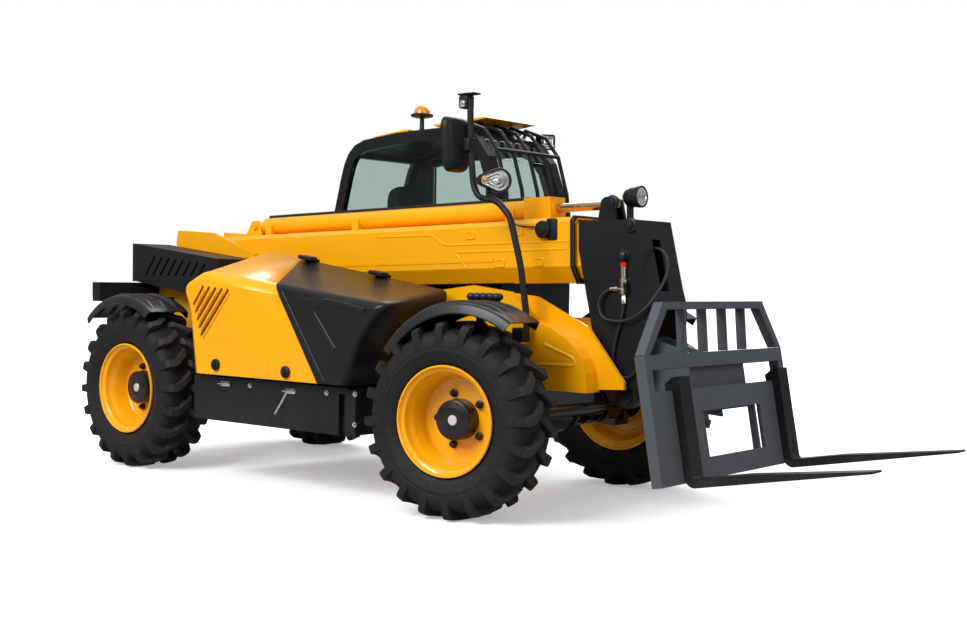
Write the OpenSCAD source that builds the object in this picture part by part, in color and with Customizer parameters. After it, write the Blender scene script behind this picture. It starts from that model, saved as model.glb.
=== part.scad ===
// Telehandler with a one-stage telescopic boom, side cab, side engine and a pallet fork carriage.
// Lengths are in millimetres. The axes are +X forward, +Y to the left and +Z up.

/* [Wheels and axles] */
// Distance between the axles
wheelbase = 3120; // [2600:10:3600]
// Distance between the wheel centre planes of one axle
track = 1824; // [1700:2:2000]
// Outside diameter of the tyres
tyre_d = 1170; // [1050:5:1300]
// Section width of the tyres
tyre_w = 400; // [340:5:450]
// Diameter of the rim flange
rim_d = 660; // [600:5:700]
// Width of the rim between its flanges
rim_w = 355; // [300:5:400]
// Distance between the kingpins of one axle
kingpin_track = 1600; // [1500:10:1640]
// Diameter of the axle tubes
axle_d = 220; // [180:5:260]
// Left turn of the front wheels as parked, in degrees
front_steer = 9; // [0:1:20]
// Radius of the fenders
fender_r = 645; // [635:5:700]
// Width of the fenders
fender_w = 380; // [320:5:420]

/* [Chassis] */
// Width over the chassis side plates
frame_w = 800; // [700:10:820]
// Thickness of the chassis side plates
frame_t = 30; // [20:1:40]
// Distance from the rear axle to the back of the light bar
rear_overhang = 650; // [600:10:900]
// Height of the bottom of the chassis over the axles
axle_top_z = 740; // [720:5:800]
// Height of the belly of the chassis
belly_z = 520; // [480:10:560]
// Height of the chassis plates beside the cab
waist_z = 900; // [860:10:930]

/* [Boom] */
// Distance of the boom pivot behind the front axle
boom_pivot_back = 3300; // [3100:10:3400]
// Height of the boom pivot
boom_pivot_z = 1580; // [1540:5:1640]
// Rise of the boom as parked, in degrees
boom_rise = 1.3; // [0:0.1:2]
// Length of the outer boom ahead of its pivot
boom_len = 3620; // [3500:10:3700]
// Width of the outer boom
boom_w = 400; // [360:5:410]
// Height of the outer boom
boom_h = 397; // [370:1:420]
// Wall of the boom tubes
boom_wall = 12; // [8:1:16]
// Diameter of the boom pivot pin
boom_pin_d = 90; // [70:5:110]
// Diameter of the extension cylinder
extend_d = 130; // [110:5:140]

/* [Tool] */
// Drop of the tool pivot below the boom pivot line
tool_drop = 951; // [900:5:980]
// Backward lean of the fork carriage as parked, in degrees
tool_lean = 10.3; // [6:0.1:14]
// Width of the fork carriage
carriage_w = 1540; // [1300:10:1600]
// Height of the fork carriage
carriage_h = 710; // [650:10:760]
// Distance from the tool pivot to the face of the forks
fork_reach = 620; // [600:5:660]
// Distance between the fork centres
fork_spacing = 1140; // [900:10:1140]
// Length of the fork blades ahead of their shanks
fork_len = 1020; // [900:10:1200]
// Width of the forks
fork_w = 115; // [100:5:130]
// Thickness of the forks at the heel
fork_t = 50; // [40:1:60]

/* [Cab] */
// Length of the cab
cab_len = 1700; // [1600:10:1750]
// Width of the cab
cab_w = 790; // [760:5:820]
// Height of the cab over its floor
cab_h = 1555; // [1500:5:1600]
// Thickness of the cab walls and of the door
cab_wall = 50; // [40:1:60]
// Width of the cab pillars
pillar_w = 85; // [70:5:100]

/* [Engine pod] */
// Length of the engine hood along the side of the machine
hood_len = 2042; // [1950:2:2060]
// Height of the outer face of the hood
hood_h = 698; // [650:2:720]
// Distance of the outer face of the hood from the centre line
hood_out = 1080; // [1060:5:1090]
// Distance of the hinged inner edge of the hood from the centre line
hood_in = 490; // [470:5:520]
// Wall of the hood
hood_wall = 25; // [15:1:30]

/* [Hidden] */
$fn = 48;

// Overrun of every cut, gap of turning fits, gap between neighbours and hairline seam
cut = 5;
fit = 0.6;
gap = 6;
seam = 0.5;

// Paint and finish colours
yellow = [0.96, 0.70, 0.06];
black = [0.07, 0.07, 0.08];
slate = [0.22, 0.24, 0.27];
steel = [0.75, 0.76, 0.78];
smoke = [0.55, 0.68, 0.70, 0.5];
amber = [0.95, 0.45, 0.05];

// Places that follow from the sizes above
tyre_r = tyre_d / 2;
wheel_y = track / 2;
kingpin_y = kingpin_track / 2;
frame_y = frame_w / 2;
boom_pivot_x = -boom_pivot_back;
head_reach = 405;
head_pin_u = boom_len + head_reach;
tool_pin_x = boom_pivot_x + head_pin_u * cos(boom_rise) + tool_drop * sin(boom_rise);
tool_pin_z = boom_pivot_z + head_pin_u * sin(boom_rise) - tool_drop * cos(boom_rise);
fork_heel_z = -carriage_h * 0.76;
rear_x = -wheelbase - rear_overhang;
fork_end_x = tool_pin_x + (fork_reach + fork_len) * cos(tool_lean) - fork_heel_z * sin(tool_lean);
front_axle_x = -(rear_x + fork_end_x) / 2;

// Points of a table of shares, scaled to a length and a height
function scaled(shares, a, b) = [for (p = shares) [p[0] * a, p[1] * b]];
// Points of an arc of radius r about c
function arc(c, r, from, to, steps = 8) =
    [for (i = [0:steps]) c + r * [cos(from + (to - from) * i / steps), sin(from + (to - from) * i / steps)]];
// Unit normal to the left of the way from a to b
function left_of(a, b) = let (d = b - a) [-d[1], d[0]] / norm(d);
// Where the lines through a along m and through b along n meet
function meet(a, m, b, n) =
    let (k = m[0] * n[1] - m[1] * n[0], s = ((b[0] - a[0]) * n[1] - (b[1] - a[1]) * n[0]) / k) a + s * m;
// Outline of a polygon, given counter-clockwise, moved inward by t
function inset(p, t) = let (n = len(p)) [for (i = [0:n - 1])
    let (a = p[(i + n - 1) % n], b = p[i], c = p[(i + 1) % n])
    meet(a + t * left_of(a, b), b - a, b + t * left_of(b, c), c - b)];

// Everything is laid out about the front axle and then centred along the machine
module place() { translate([front_axle_x, 0, 0]) children(); }
// The outer boom's frame: X along the boom from its pivot
module on_boom() { place() translate([boom_pivot_x, 0, boom_pivot_z]) rotate([0, -boom_rise, 0]) children(); }
// The tool's frame: origin on the tool pivot, Z up along the carriage
module on_tool() { place() translate([tool_pin_x, 0, tool_pin_z]) rotate([0, -tool_lean, 0]) children(); }
// An outline in X and Z made solid from y0 to y1
module plate(points, y0, y1) {
    translate([0, y1, 0]) rotate([90, 0, 0]) linear_extrude(y1 - y0) polygon(points);
}
// The same on both sides of the centre line
module mirrored() {
    children();
    mirror([0, 1, 0]) children();
}
// A round bar along Y
module bar_y(x, z, d, y0, y1) { translate([x, y0, z]) rotate([-90, 0, 0]) cylinder(h = y1 - y0, d = d); }
// A round bar along X
module bar_x(x0, x1, y, z, d) { translate([x0, y, z]) rotate([0, 90, 0]) cylinder(h = x1 - x0, d = d); }
// A round bar between two points
module bar(a, b, d) {
    v = b - a;
    translate(a) rotate([0, acos(v[2] / norm(v)), atan2(v[1], v[0])]) cylinder(h = norm(v), d = d);
}
// A box from corner a to corner b
module block(a, b) { translate(a) cube(b - a); }
// A skin through rings of as many points each, closed at both ends.
// Each ring runs counter-clockwise as seen looking along the way from the first ring to the last.
module loft(rings) {
    n = len(rings[0]);
    m = len(rings);
    polyhedron(
        points = [for (r = rings) each r],
        faces = concat(
            [[for (i = [n - 1:-1:0]) i]],
            [for (j = [0:m - 2], i = [0:n - 1]) [(j + 1) * n + (i + 1) % n, (j + 1) * n + i, j * n + i]],
            [for (j = [0:m - 2], i = [0:n - 1]) [j * n + (i + 1) % n, (j + 1) * n + (i + 1) % n, j * n + i]],
            [[for (i = [0:n - 1]) (m - 1) * n + i]]));
}
// A round tube of a few flats swept along points; side is a direction that the route never follows
tube_sides = 10;
function unit(v) = v / norm(v);
function way(p, i) = unit(p[min(i + 1, len(p) - 1)] - p[max(i - 1, 0)]);
function tube_ring(c, t, side, d) = let (r = unit(cross(t, side)), u = cross(r, t))
    [for (k = [0:tube_sides - 1]) c + d / 2 * (r * cos(360 * k / tube_sides) +
        u * sin(360 * k / tube_sides))];
module sweep(points, d, side) { loft([for (i = [0:len(points) - 1])
    tube_ring(points[i], way(points, i), side, d)]); }
// A ring in X and Z at a given y
function ring_y(points, y) = [for (p = points) [p[0], y, p[1]]];

// Chassis: two side plates that carry both axles, the nose, the boom tower and the cross members
nose_len = 830;
nose_h = 640;
light_bar_t = 100;
frame_back = rear_x + light_bar_t;
cover_rear_z = 1374;
cover_front_z = 1240;
cover_ahead = 470;
cover_front = -wheelbase + cover_ahead;
cheek_y = 268;
cheek_t = 25;
tower_t = 35;
tower_gap = 15;
tower_y = boom_w / 2 + tower_gap;
lift_base_ahead = 300;
lift_base_up = 110;
lift_base = [boom_pivot_x + lift_base_ahead, axle_top_z + lift_base_up];
lift_pin_d = 70;
ear_t = 25;
// Outlines of the nose: its rounded front, its top on either side and the cheeks inside it
nose_shares = [[0.69, 0.01], [0.68, 0.20], [0.645, 0.32], [0.58, 0.42], [0.48, 0.52], [0.36, 0.60],
    [0.18, 0.67]];
nose_right_shares = [[0.09, 0.80], [-0.02, 0.94], [-0.40, 1], [-0.72, 0.95]];
nose_left_shares = [[-0.40, 0.68], [-0.72, 0.66]];
nose_wrap_share = 0.95;
cheek_shares = [[-0.20, 0.03], [0.60, 0.03], [0.92, 0.05], [0.92, 0.12], [0.60, 0.62]];
cheek_right_shares = [[0.12, 0.90], [-0.20, 0.94]];
cheek_left_shares = [[0.20, 0.68], [-0.20, 0.68]];
function on_nose(shares) = [for (p = scaled(shares, nose_len, nose_h)) [p[0], axle_top_z + p[1]]];
function side_outline(top_shares) = concat(
    [[frame_back, axle_top_z + frame_t * 2], [frame_back + frame_t * 2, axle_top_z],
     [-wheelbase + tyre_r, axle_top_z], [-wheelbase + tyre_r + frame_w / 8, belly_z],
     [-tyre_r - frame_w / 4, belly_z], [-tyre_r - frame_w / 8, axle_top_z]],
    on_nose(nose_shares), on_nose(top_shares),
    [[-nose_len * nose_foot_share, waist_z], [-wheelbase + tyre_r + frame_w / 8, waist_z],
     [cover_front, cover_front_z], [frame_back, cover_rear_z]]);
nose_foot_share = 0.74;
tower_w = 1000;
tower_shares = [[-0.24, 0], [0.40, 0], [0.64, 0.60], [0.63, 1.02], [0.11, 1.22], [-0.33, 1.25],
    [-0.355, 1.13], [-0.24, 0.755]];
module tower() {
    plate([for (p = scaled(tower_shares, tower_w, boom_pivot_z - axle_top_z)) p +
        [boom_pivot_x, axle_top_z]],
        tower_y, tower_y + tower_t);
}
axle_seat_w = 300;
cross_d = 120;
module chassis_frame() {
    color(yellow) place() {
        plate(side_outline(nose_right_shares), -frame_y, -frame_y + frame_t);
        plate(side_outline(nose_left_shares), frame_y - frame_t, frame_y);
        plate(concat(on_nose(cheek_shares), on_nose(cheek_right_shares)), -cheek_y - cheek_t, -cheek_y);
        plate(concat(on_nose(cheek_shares), on_nose(cheek_left_shares)), cheek_y, cheek_y + cheek_t);
        mirrored() {
            tower();
            // Front of the nose, bent round between the side plate and the cheek
            plate(concat(on_nose(nose_shares), [for (i = [len(nose_shares) - 1:-1:0])
                on_nose(nose_shares)[i] * nose_wrap_share
                + [0, axle_top_z * (1 - nose_wrap_share)]]), cheek_y, frame_y);
            // Ears that hold the foot of the lift cylinder
            plate(concat([[lift_base[0] - lift_pin_d, axle_top_z],
                [lift_base[0] + lift_pin_d, axle_top_z]],
                arc(lift_base, lift_pin_d, 0, 180)), cross_d / 2, cross_d / 2 + ear_t);
        }
        // Floors over both axles, with the seats that the axles are bolted to
        for (x = [0, -wheelbase]) difference() {
            block([x - axle_seat_w / 2, -frame_y, axle_top_z],
                [x + axle_seat_w / 2, frame_y, axle_top_z + frame_t]);
            bar_y(x, tyre_r, axle_d * diff_r_share * 2 + gap * 2, -cheek_y, cheek_y);
        }
        block([frame_back, -frame_y, axle_top_z + frame_t * 2],
              [frame_back + frame_t, frame_y, cover_rear_z - frame_t]);
        block([lift_base[0] - axle_seat_w, -frame_y, axle_top_z],
              [lift_base[0] + axle_seat_w / 2, frame_y, axle_top_z + frame_t / 2]);
        for (x = [-tyre_r - frame_w / 4, -wheelbase / 2, -wheelbase + tyre_r + frame_w / 4])
            bar_y(x, (belly_z + waist_z) / 2, cross_d, -frame_y + frame_t / 2, frame_y - frame_t / 2);
        // Boom pivot pin
        bar_y(boom_pivot_x, boom_pivot_z, boom_pin_d, -tower_y - tower_t * 1.4, tower_y + tower_t * 1.4);
        // Lift cylinder foot pin
        bar_y(lift_base[0], lift_base[1], lift_pin_d, -cross_d / 2 - ear_t * 1.3, cross_d / 2 + ear_t * 1.3);
    }
}

// Axle housings with rings, a differential and a kingpin yoke at each end
yoke_h = 300;
yoke_t = 36;
yoke_l = 110;
kingpin_d = 60;
steer_arm = 162;
steer_rod_d = 46;
steer_cyl_d = 80;
axle_ring_shares = [0.34, 0.52, 0.60];
diff_r_share = 0.68;
module axle_housing(x, ahead) {
    tube_end = kingpin_y - yoke_l;
    color(black) place() translate([x, 0, tyre_r]) mirror([ahead > 0 ? 0 : 1, 0, 0]) difference() {
        union() {
            bar_y(0, 0, axle_d, -tube_end + yoke_t / 2, tube_end - yoke_t / 2);
            mirrored() {
                for (s = axle_ring_shares)
                    bar_y(0, 0, axle_d * 1.14, kingpin_y * s, kingpin_y * s + yoke_t / 2);
                // Yoke that holds the kingpin above and below
                block([-yoke_l / 2, tube_end - yoke_t, -yoke_h / 2],
                    [yoke_l / 2, tube_end + cut, yoke_h / 2]);
                for (s = [-1, 1]) translate([0, 0, s * (yoke_h - yoke_t) / 2]) {
                    block([-yoke_l / 2, tube_end - yoke_t, -yoke_t / 2], [yoke_l / 2, kingpin_y, yoke_t / 2]);
                    translate([0, kingpin_y, -yoke_t / 2]) cylinder(h = yoke_t, d = yoke_l);
                }
                // Kingpins
                for (s = [-1, 1]) translate([0, kingpin_y, s * (yoke_h / 2 - yoke_t * 1.5) - yoke_t * 0.9])
                    cylinder(h = yoke_t * 1.8, d = kingpin_d);
                // Brackets of the steering cylinder
                block([0, axle_d * 1.1, -steer_cyl_d / 4], [steer_arm, axle_d * 1.3, steer_cyl_d / 4]);
            }
            // Differential housing
            rotate([-90, 0, 0]) translate([0, 0, -axle_d]) rotate_extrude()
                polygon([[0, 0], [axle_d * 0.5, 0],
                [axle_d * 0.62, axle_d * 0.4], [axle_d * diff_r_share, axle_d * 0.75],
                [axle_d * diff_r_share, axle_d * 1.25], [axle_d * 0.62, axle_d * 1.6],
                [axle_d * 0.5, axle_d * 2], [0, axle_d * 2]]);
            // Saddle under the chassis floor
            block([-axle_seat_w / 2, -cheek_y, 0], [axle_seat_w / 2, cheek_y, axle_top_z - tyre_r]);
            // Steering cylinder on the far side from the drive shaft
            bar_y(steer_arm, 0, steer_cyl_d, -axle_d * 1.5, axle_d * 1.5);
        }
        bar_y(steer_arm, 0, steer_rod_d + fit * 2, -axle_d * 2, axle_d * 2);
    }
}
module front_axle() { axle_housing(0, 1); }
module rear_axle() { axle_housing(-wheelbase, -1); }

// Steering rod through its cylinder, with a fork at each end round the steering arm
steer_arm_t = 24;
steer_fork_t = 14;
module steer_rod(x, ahead, steer) {
    end = kingpin_y - yoke_l * 1.3;
    color(steel) place() translate([x + ahead * steer_arm, ahead * steer_arm * sin(steer), tyre_r]) {
        bar_y(0, 0, steer_rod_d, -end, end);
        mirrored() for (s = [-1, 1])
            block([-steer_rod_d / 2, end - steer_rod_d, s > 0 ? steer_arm_t / 2 + fit :
                -steer_arm_t / 2 - fit - steer_fork_t],
                  [steer_rod_d / 2, kingpin_y + steer_rod_d / 6,
                   s > 0 ? steer_arm_t / 2 + fit + steer_fork_t : -steer_arm_t / 2 - fit]);
    }
}
module front_steer_rod() { steer_rod(0, 1, front_steer); }
module rear_steer_rod() { steer_rod(-wheelbase, -1, 0); }

// Gearbox under the belly and the shafts to both axles
gearbox_l = 420;
gearbox_w = 340;
shaft_d = 90;
module driveline() {
    color(black) place() {
        block([-wheelbase / 2 - gearbox_l / 2, -gearbox_w / 2, belly_z - cross_d],
              [-wheelbase / 2 + gearbox_l / 2, gearbox_w / 2, (belly_z + waist_z - cross_d) / 2]);
        bar_x(-wheelbase + axle_d * diff_r_share + seam, -axle_d * diff_r_share - seam, 0,
            tyre_r - shaft_d / 2, shaft_d);
        for (x = [-wheelbase + axle_d, -wheelbase / 2 - gearbox_l * 0.6, -wheelbase / 2 + gearbox_l * 0.5,
            -axle_d * 1.3])
            bar_x(x, x + shaft_d / 2, 0, tyre_r - shaft_d / 2, shaft_d * 1.6);
    }
}

// Knuckle on its kingpins, with the stub that carries the wheel, the steering arm and the fender post
knuckle_h = yoke_h - yoke_t * 2 - gap / 3;
knuckle_w = 92;
stub_d = 150;
hub_face = 30;
post_t = 26;
post_gap = 14;
// Frame of one wheel: origin on the kingpin at axle height, +Y outward, +X toward the steering rod
module at_corner(x, side, ahead, steer) {
    place() translate([x, side * kingpin_y, tyre_r]) rotate([0, 0, steer])
        mirror([ahead < 0 ? 1 : 0, 0, 0]) mirror([0, side < 0 ? 1 : 0, 0]) children();
}
module knuckle_shape() {
    out = wheel_y - kingpin_y;
    // Post beside the tyre, the link over the yoke that leads to it and the arm under the fender
    post_in = out - tyre_w / 2 - post_gap - post_t;
    post_top = fender_up + sqrt(pow(fender_r - fender_t, 2) - pow(fender_ahead + post_t, 2)) - seam;
    link_y = yoke_l / 2 + gap;
    link_z = yoke_h / 2 + gap;
    difference() {
        union() {
            block([-knuckle_w / 2, -knuckle_w / 2, -knuckle_h / 2],
                [knuckle_w / 2, knuckle_w / 2, knuckle_h / 2]);
            bar_y(0, 0, stub_d, 0, out + hub_face);
            // Steering arm
            block([0, -knuckle_w / 3, -steer_arm_t / 2], [steer_arm, knuckle_w / 3, steer_arm_t / 2]);
            translate([steer_arm, 0, -steer_arm_t / 2]) cylinder(h = steer_arm_t, d = knuckle_w * 0.66);
            block([-post_t, link_y, 0], [post_t, link_y + post_t, link_z + post_t]);
            block([-post_t, post_in, link_z], [post_t, link_y + post_t, link_z + post_t]);
            block([-post_t, post_in, link_z], [post_t, post_in + post_t, post_top]);
            block([-post_t, post_in, post_top - post_t], [post_t, out, post_top]);
        }
        for (s = [-1, 1]) translate([0, 0, s * (yoke_h / 2 - yoke_t * 1.5) - yoke_t])
            cylinder(h = yoke_t * 2, d = kingpin_d + fit * 2);
    }
}
module front_right_knuckle() { color(black) at_corner(0, -1, 1, front_steer) knuckle_shape(); }
module front_left_knuckle() { color(black) at_corner(0, 1, 1, front_steer) knuckle_shape(); }
module rear_right_knuckle() { color(black) at_corner(-wheelbase, -1, -1, 0) knuckle_shape(); }
module rear_left_knuckle() { color(black) at_corner(-wheelbase, 1, -1, 0) knuckle_shape(); }

// Moulded fender over each wheel, an arched shell with a turned-down outer lip and ribs
fender_t = 10;
fender_lip = 45;
fender_from = 51;
fender_to = 141;
fender_ahead = 90;
fender_up = 50;
fender_rib_w = 12;
fender_ribs = 3;
module fender_shape() {
    out = wheel_y - kingpin_y;
    inner = out - fender_w / 2;
    translate([fender_ahead, 0, fender_up]) rotate([90, 0, 0]) rotate([0, 0, fender_from])
        rotate_extrude(angle = fender_to - fender_from) {
            translate([fender_r - fender_t, -inner - fender_w]) square([fender_t, fender_w]);
            translate([fender_r - fender_lip, -inner - fender_w]) square([fender_lip, fender_t]);
            for (i = [1:fender_ribs])
                translate([fender_r - fender_t / 2, -inner - fender_w * i / (fender_ribs + 1)
                    - fender_rib_w / 2])
                    square([fender_t, fender_rib_w]);
        }
}
module front_right_fender() { color(black) at_corner(0, -1, 1, front_steer) fender_shape(); }
module front_left_fender() { color(black) at_corner(0, 1, 1, front_steer) fender_shape(); }
module rear_right_fender() { color(black) at_corner(-wheelbase, -1, -1, 0) fender_shape(); }
module rear_left_fender() { color(black) at_corner(-wheelbase, 1, -1, 0) fender_shape(); }

// Wheel: a deep-dish rim with hub, and a tyre
// Tyre outline from its seat on the rim (0) to its tread (1), and rim outline
seat_share = 0.9106;
tyre_shares = [[0, 0.36], [0.095, 0.40], [0.18, 0.46], [0.425, 0.50], [0.71, 0.49], [0.90, 0.44],
    [0.98, 0.38], [1, 0.30]];
rim_shares = [[1, 0.5], [1, 0.47], [0.92, 0.44], [0.90, 0.36], [0.88, 0.30], [0.80, 0.10], [0.80, -0.2],
    [0.86, -0.42], [1, -0.47], [1, -0.5]];
rim_wall = 14;
disc_share = -0.03;
disc_t = 20;
hub_d = 240;
hub_out = 70;
// Wheel frame: origin at the wheel centre, Z outward along its axis
module on_wheel() { translate([0, wheel_y - kingpin_y, 0]) rotate([-90, 0, 0]) children(); }
module tyre_shape() {
    seat = rim_d / 2 * seat_share;
    half = [for (p = tyre_shares) [seat + p[0] * (tyre_r - seat), p[1] * tyre_w]];
    color(black) on_wheel() rotate_extrude($fn = 72)
        polygon(concat([for (p = half) [p[0], -p[1]]], [for (i = [len(half) - 1:-1:0]) half[i]]));
}
module rim_shape() {
    disc_z = rim_w * disc_share;
    skin = [for (p = rim_shares) [p[0] * rim_d / 2 - fit, p[1] * rim_w]];
    color(yellow) on_wheel() difference() {
        union() {
            rotate_extrude($fn = 72) polygon(concat(
                [for (i = [len(skin) - 1:-1:0]) skin[i]], [for (p = skin) [p[0] - rim_wall, p[1]]]));
            translate([0, 0, disc_z]) cylinder(h = disc_t, d = rim_d * rim_shares[5][0]);
            translate([0, 0, disc_z]) cylinder(h = disc_t + hub_out, d = hub_d);
        }
        translate([0, 0, disc_z - cut]) cylinder(h = hub_face - disc_z + cut + fit, d = stub_d + fit * 2);
    }
}
module front_right_tyre() { at_corner(0, -1, 1, front_steer) tyre_shape(); }
module front_left_tyre() { at_corner(0, 1, 1, front_steer) tyre_shape(); }
module rear_right_tyre() { at_corner(-wheelbase, -1, -1, 0) tyre_shape(); }
module rear_left_tyre() { at_corner(-wheelbase, 1, -1, 0) tyre_shape(); }
module front_right_rim() { at_corner(0, -1, 1, front_steer) rim_shape(); }
module front_left_rim() { at_corner(0, 1, 1, front_steer) rim_shape(); }
module rear_right_rim() { at_corner(-wheelbase, -1, -1, 0) rim_shape(); }
module rear_left_rim() { at_corner(-wheelbase, 1, -1, 0) rim_shape(); }

// Engine pod on the right: belly skirt, engine block, inner bay frame and the hinged hood over them
skirt_out = 1020;
skirt_top = 722;
skirt_bottom = 416;
skirt_gap = 151;
skirt_front_gap = 241;
skirt_back = -wheelbase + tyre_r + skirt_gap;
skirt_front = -tyre_r - skirt_front_gap;
skirt_edge = 40;
module side_skirt() {
    in = frame_y + gap / 2;
    color(black) place() difference() {
        translate([skirt_back, 0, 0]) rotate([90, 0, 90]) linear_extrude(skirt_front - skirt_back)
            polygon([[-in, skirt_bottom + skirt_edge * 2], [-in, skirt_top], [-skirt_out, skirt_top],
                [-skirt_out, skirt_bottom + skirt_edge / 4], [-skirt_out + skirt_edge / 4, skirt_bottom],
                [-in - skirt_edge * 2, skirt_bottom]]);
        block([skirt_front - skirt_edge * 2, -skirt_out - cut, skirt_bottom - cut],
              [skirt_front + cut, -skirt_out + skirt_edge, skirt_top - skirt_edge]);
    }
    color(black) place() for (x = [skirt_back + skirt_edge * 4, skirt_front - skirt_edge * 6])
        block([x, -in - cut, skirt_top - skirt_edge * 3],
            [x + skirt_edge * 2, -frame_y, skirt_top - skirt_edge]);
}
engine_len = 980;
engine_w = 430;
engine_h = 500;
module engine_block() {
    x = skirt_back + skirt_edge * 5;
    color(black) place() {
        block([x, -hood_in - engine_w - skirt_edge, skirt_top],
            [x + engine_len, -hood_in - skirt_edge, skirt_top + engine_h]);
        bar_x(x + engine_len, x + engine_len + engine_w / 2, -hood_in - engine_w / 2, skirt_top +
            engine_h / 2, engine_h * 0.6);
    }
}
// Outline of the hood's outer face and of its inner edge, counter-clockwise seen from the right
hood_lap = 100;
hood_lift = 20;
hood_back = skirt_back - hood_lap;
hood_z = skirt_top + hood_lift;
hood_rise = 170;
hood_edge = 70;
hood_shares = [[0.84, 0], [0.875, 0.37], [0.94, 0.57], [1, 0.735], [0.116, 1], [0, 0.86], [0.046, 0.626],
    [0.075, 0]];
hood_rise_shares = [0, 0, 0, 0.5, 1, 0.6, 0.1, 0];
function hood_outer() = [for (p = hood_shares) [hood_back + p[0] * hood_len, hood_z + p[1] * hood_h]];
function hood_inner() = [for (i = [0:len(hood_shares) - 1])
    hood_outer()[i] + [0, hood_rise * hood_rise_shares[i]]];
function hood_mid() = let (o = hood_outer(), n = hood_inner(), s = (hood_out - hood_edge - hood_in)
    / (hood_out - hood_in))
    [for (i = [0:len(o) - 1]) n[i] + (o[i] - n[i]) * s];
function hood_face() = let (o = hood_outer(), k = inset(o, hood_edge * 0.6)) [for (i = [0:len(o) - 1])
    o[i][1] > hood_z + cut ? [k[i][0], k[i][1]] : [k[i][0], hood_z]];
// An outline of the hood moved inward by its wall, and open at the bottom
function hood_hollow(ring) = let (k = inset(ring, hood_wall)) [for (i = [0:len(ring) - 1])
    ring[i][1] > hood_z + cut ? k[i] : [k[i][0], hood_z - hood_wall]];
module hood_shell() {
    difference() {
        loft([ring_y(hood_face(), -hood_out), ring_y(hood_mid(), -hood_out + hood_edge),
            ring_y(hood_inner(), -hood_in)]);
        loft([ring_y(hood_hollow(hood_face()), -hood_out + hood_wall),
              ring_y(hood_hollow(hood_mid()), -hood_out + hood_edge),
              ring_y(hood_hollow(hood_inner()), -hood_in + cut)]);
    }
}
// The slanted joint between the painted panel and the moulded front panel
hood_joint_shares = [[0.704, 0], [0.472, 1]];
joint_gap = 0.6;
joint_skew = 0.44;
module joint_side(sign) {
    far = sign * hood_len * 2;
    low = hood_z - hood_h / 4;
    slope = (hood_joint_shares[1][0] - hood_joint_shares[0][0]) * hood_len / hood_h;
    x0 = hood_back + hood_joint_shares[0][0] * hood_len + sign * joint_gap / 2;
    pts = [[x0 - slope * hood_h / 4, low], [x0 + slope * hood_h * 1.5, low + hood_h * 1.75],
        [x0 + far, low + hood_h * 1.75], [x0 + far, low]];
    multmatrix([[1, -joint_skew, 0, -joint_skew * hood_out], [0, 1, 0, 0], [0, 0, 1, 0]])
        plate(sign > 0 ? [pts[0], pts[3], pts[2], pts[1]] : pts, -hood_out - cut, -hood_in + cut);
}
louvre_count = 5;
louvre_w = 26;
louvre_pitch_share = 0.031;
louvre_tilt = 47;
louvre_shares = [0.125, 0.90];
hinge_d = 26;
hinge_len = 110;
hinge_shares = [0.26, 0.65];
function hinge_slope() = let (a = hood_inner()[4], b = hood_inner()[3]) atan2(b[1] - a[1], b[0] - a[0]);
function hinge_at(s) = let (a = hood_inner()[4], b = hood_inner()[3]) a + (b - a) * s;
module on_hinge(s) {
    p = hinge_at(s);
    translate([p[0], -hood_in + hinge_d / 2 + gap, p[1]]) rotate([0, -hinge_slope(), 0]) children();
}
module hinge_leaf(s) {
    on_hinge(s) difference() {
        union() {
            translate([-hinge_len / 4, 0, 0]) rotate([0, 90, 0]) cylinder(h = hinge_len / 2, d = hinge_d);
            block([-hinge_len / 4, -hinge_d * 2, -hood_wall / 2], [hinge_len / 4, 0, hinge_d / 2]);
        }
        translate([-hinge_len, 0, 0]) rotate([0, 90, 0])
            cylinder(h = hinge_len * 2, d = hinge_d / 2 + fit * 2);
    }
}
module hood_panel() {
    color(yellow) place() {
        difference() {
            intersection() {
                hood_shell();
                joint_side(-1);
            }
            for (i = [0:louvre_count - 1]) {
                slot = hood_h * (0.24 + 0.075 * i);
                translate([hood_back + hood_len * (louvre_shares[0] + louvre_pitch_share * i), -hood_out,
                           hood_z + hood_h * (louvre_shares[1] - 0.012 * i)])
                    rotate([0, -louvre_tilt, 0]) translate([-slot, -hood_wall, -louvre_w / 2])
                        cube([slot, hood_wall * 3, louvre_w]);
            }
        }
    }
}
recess_shares = [[0.78, 0.62], [0.84, 0.36], [0.88, 0.56], [0.93, 0.71], [0.73, 0.81], [0.66, 0.73]];
recess_deep = 12;
module hood_front() {
    color(black) place() {
        difference() {
            intersection() {
                hood_shell();
                joint_side(1);
            }
            plate([for (p = recess_shares) [hood_back + p[0] * hood_len, hood_z + p[1] * hood_h]],
                -hood_out - cut, -hood_out + recess_deep);
        }
        for (s = hinge_shares) hinge_leaf(s);
    }
}
bay_t = 15;
module engine_bay_frame() {
    y = -hood_in + hinge_d + gap * 2;
    color(black) place() {
        difference() {
            plate(inset(hood_inner(), hood_wall * 2), y, y + bay_t);
            block([hood_back - cut, y - cut, 0], [hood_back + hood_len, y + bay_t + cut, skirt_top]);
        }
        // Lugs and pins of the hood hinges
        for (s = hinge_shares) on_hinge(s) {
            translate([-hinge_len / 2, 0, 0]) rotate([0, 90, 0]) cylinder(h = hinge_len, d = hinge_d / 2);
            for (k = [-1, 1]) translate([k * hinge_len / 2.6, 0, 0])
                block([-hinge_len / 10, -hinge_d / 2, -hood_wall * 4],
                    [hinge_len / 10, hinge_d / 2 + gap * 2, hinge_d / 2]);
        }
        // Spacers to the chassis side plate
        for (x = [skirt_back + skirt_edge * 4, -tyre_r - frame_w / 2])
            block([x, y + bay_t, waist_z - cross_d], [x + cross_d, -frame_y, waist_z - cross_d / 2]);
    }
}

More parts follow.
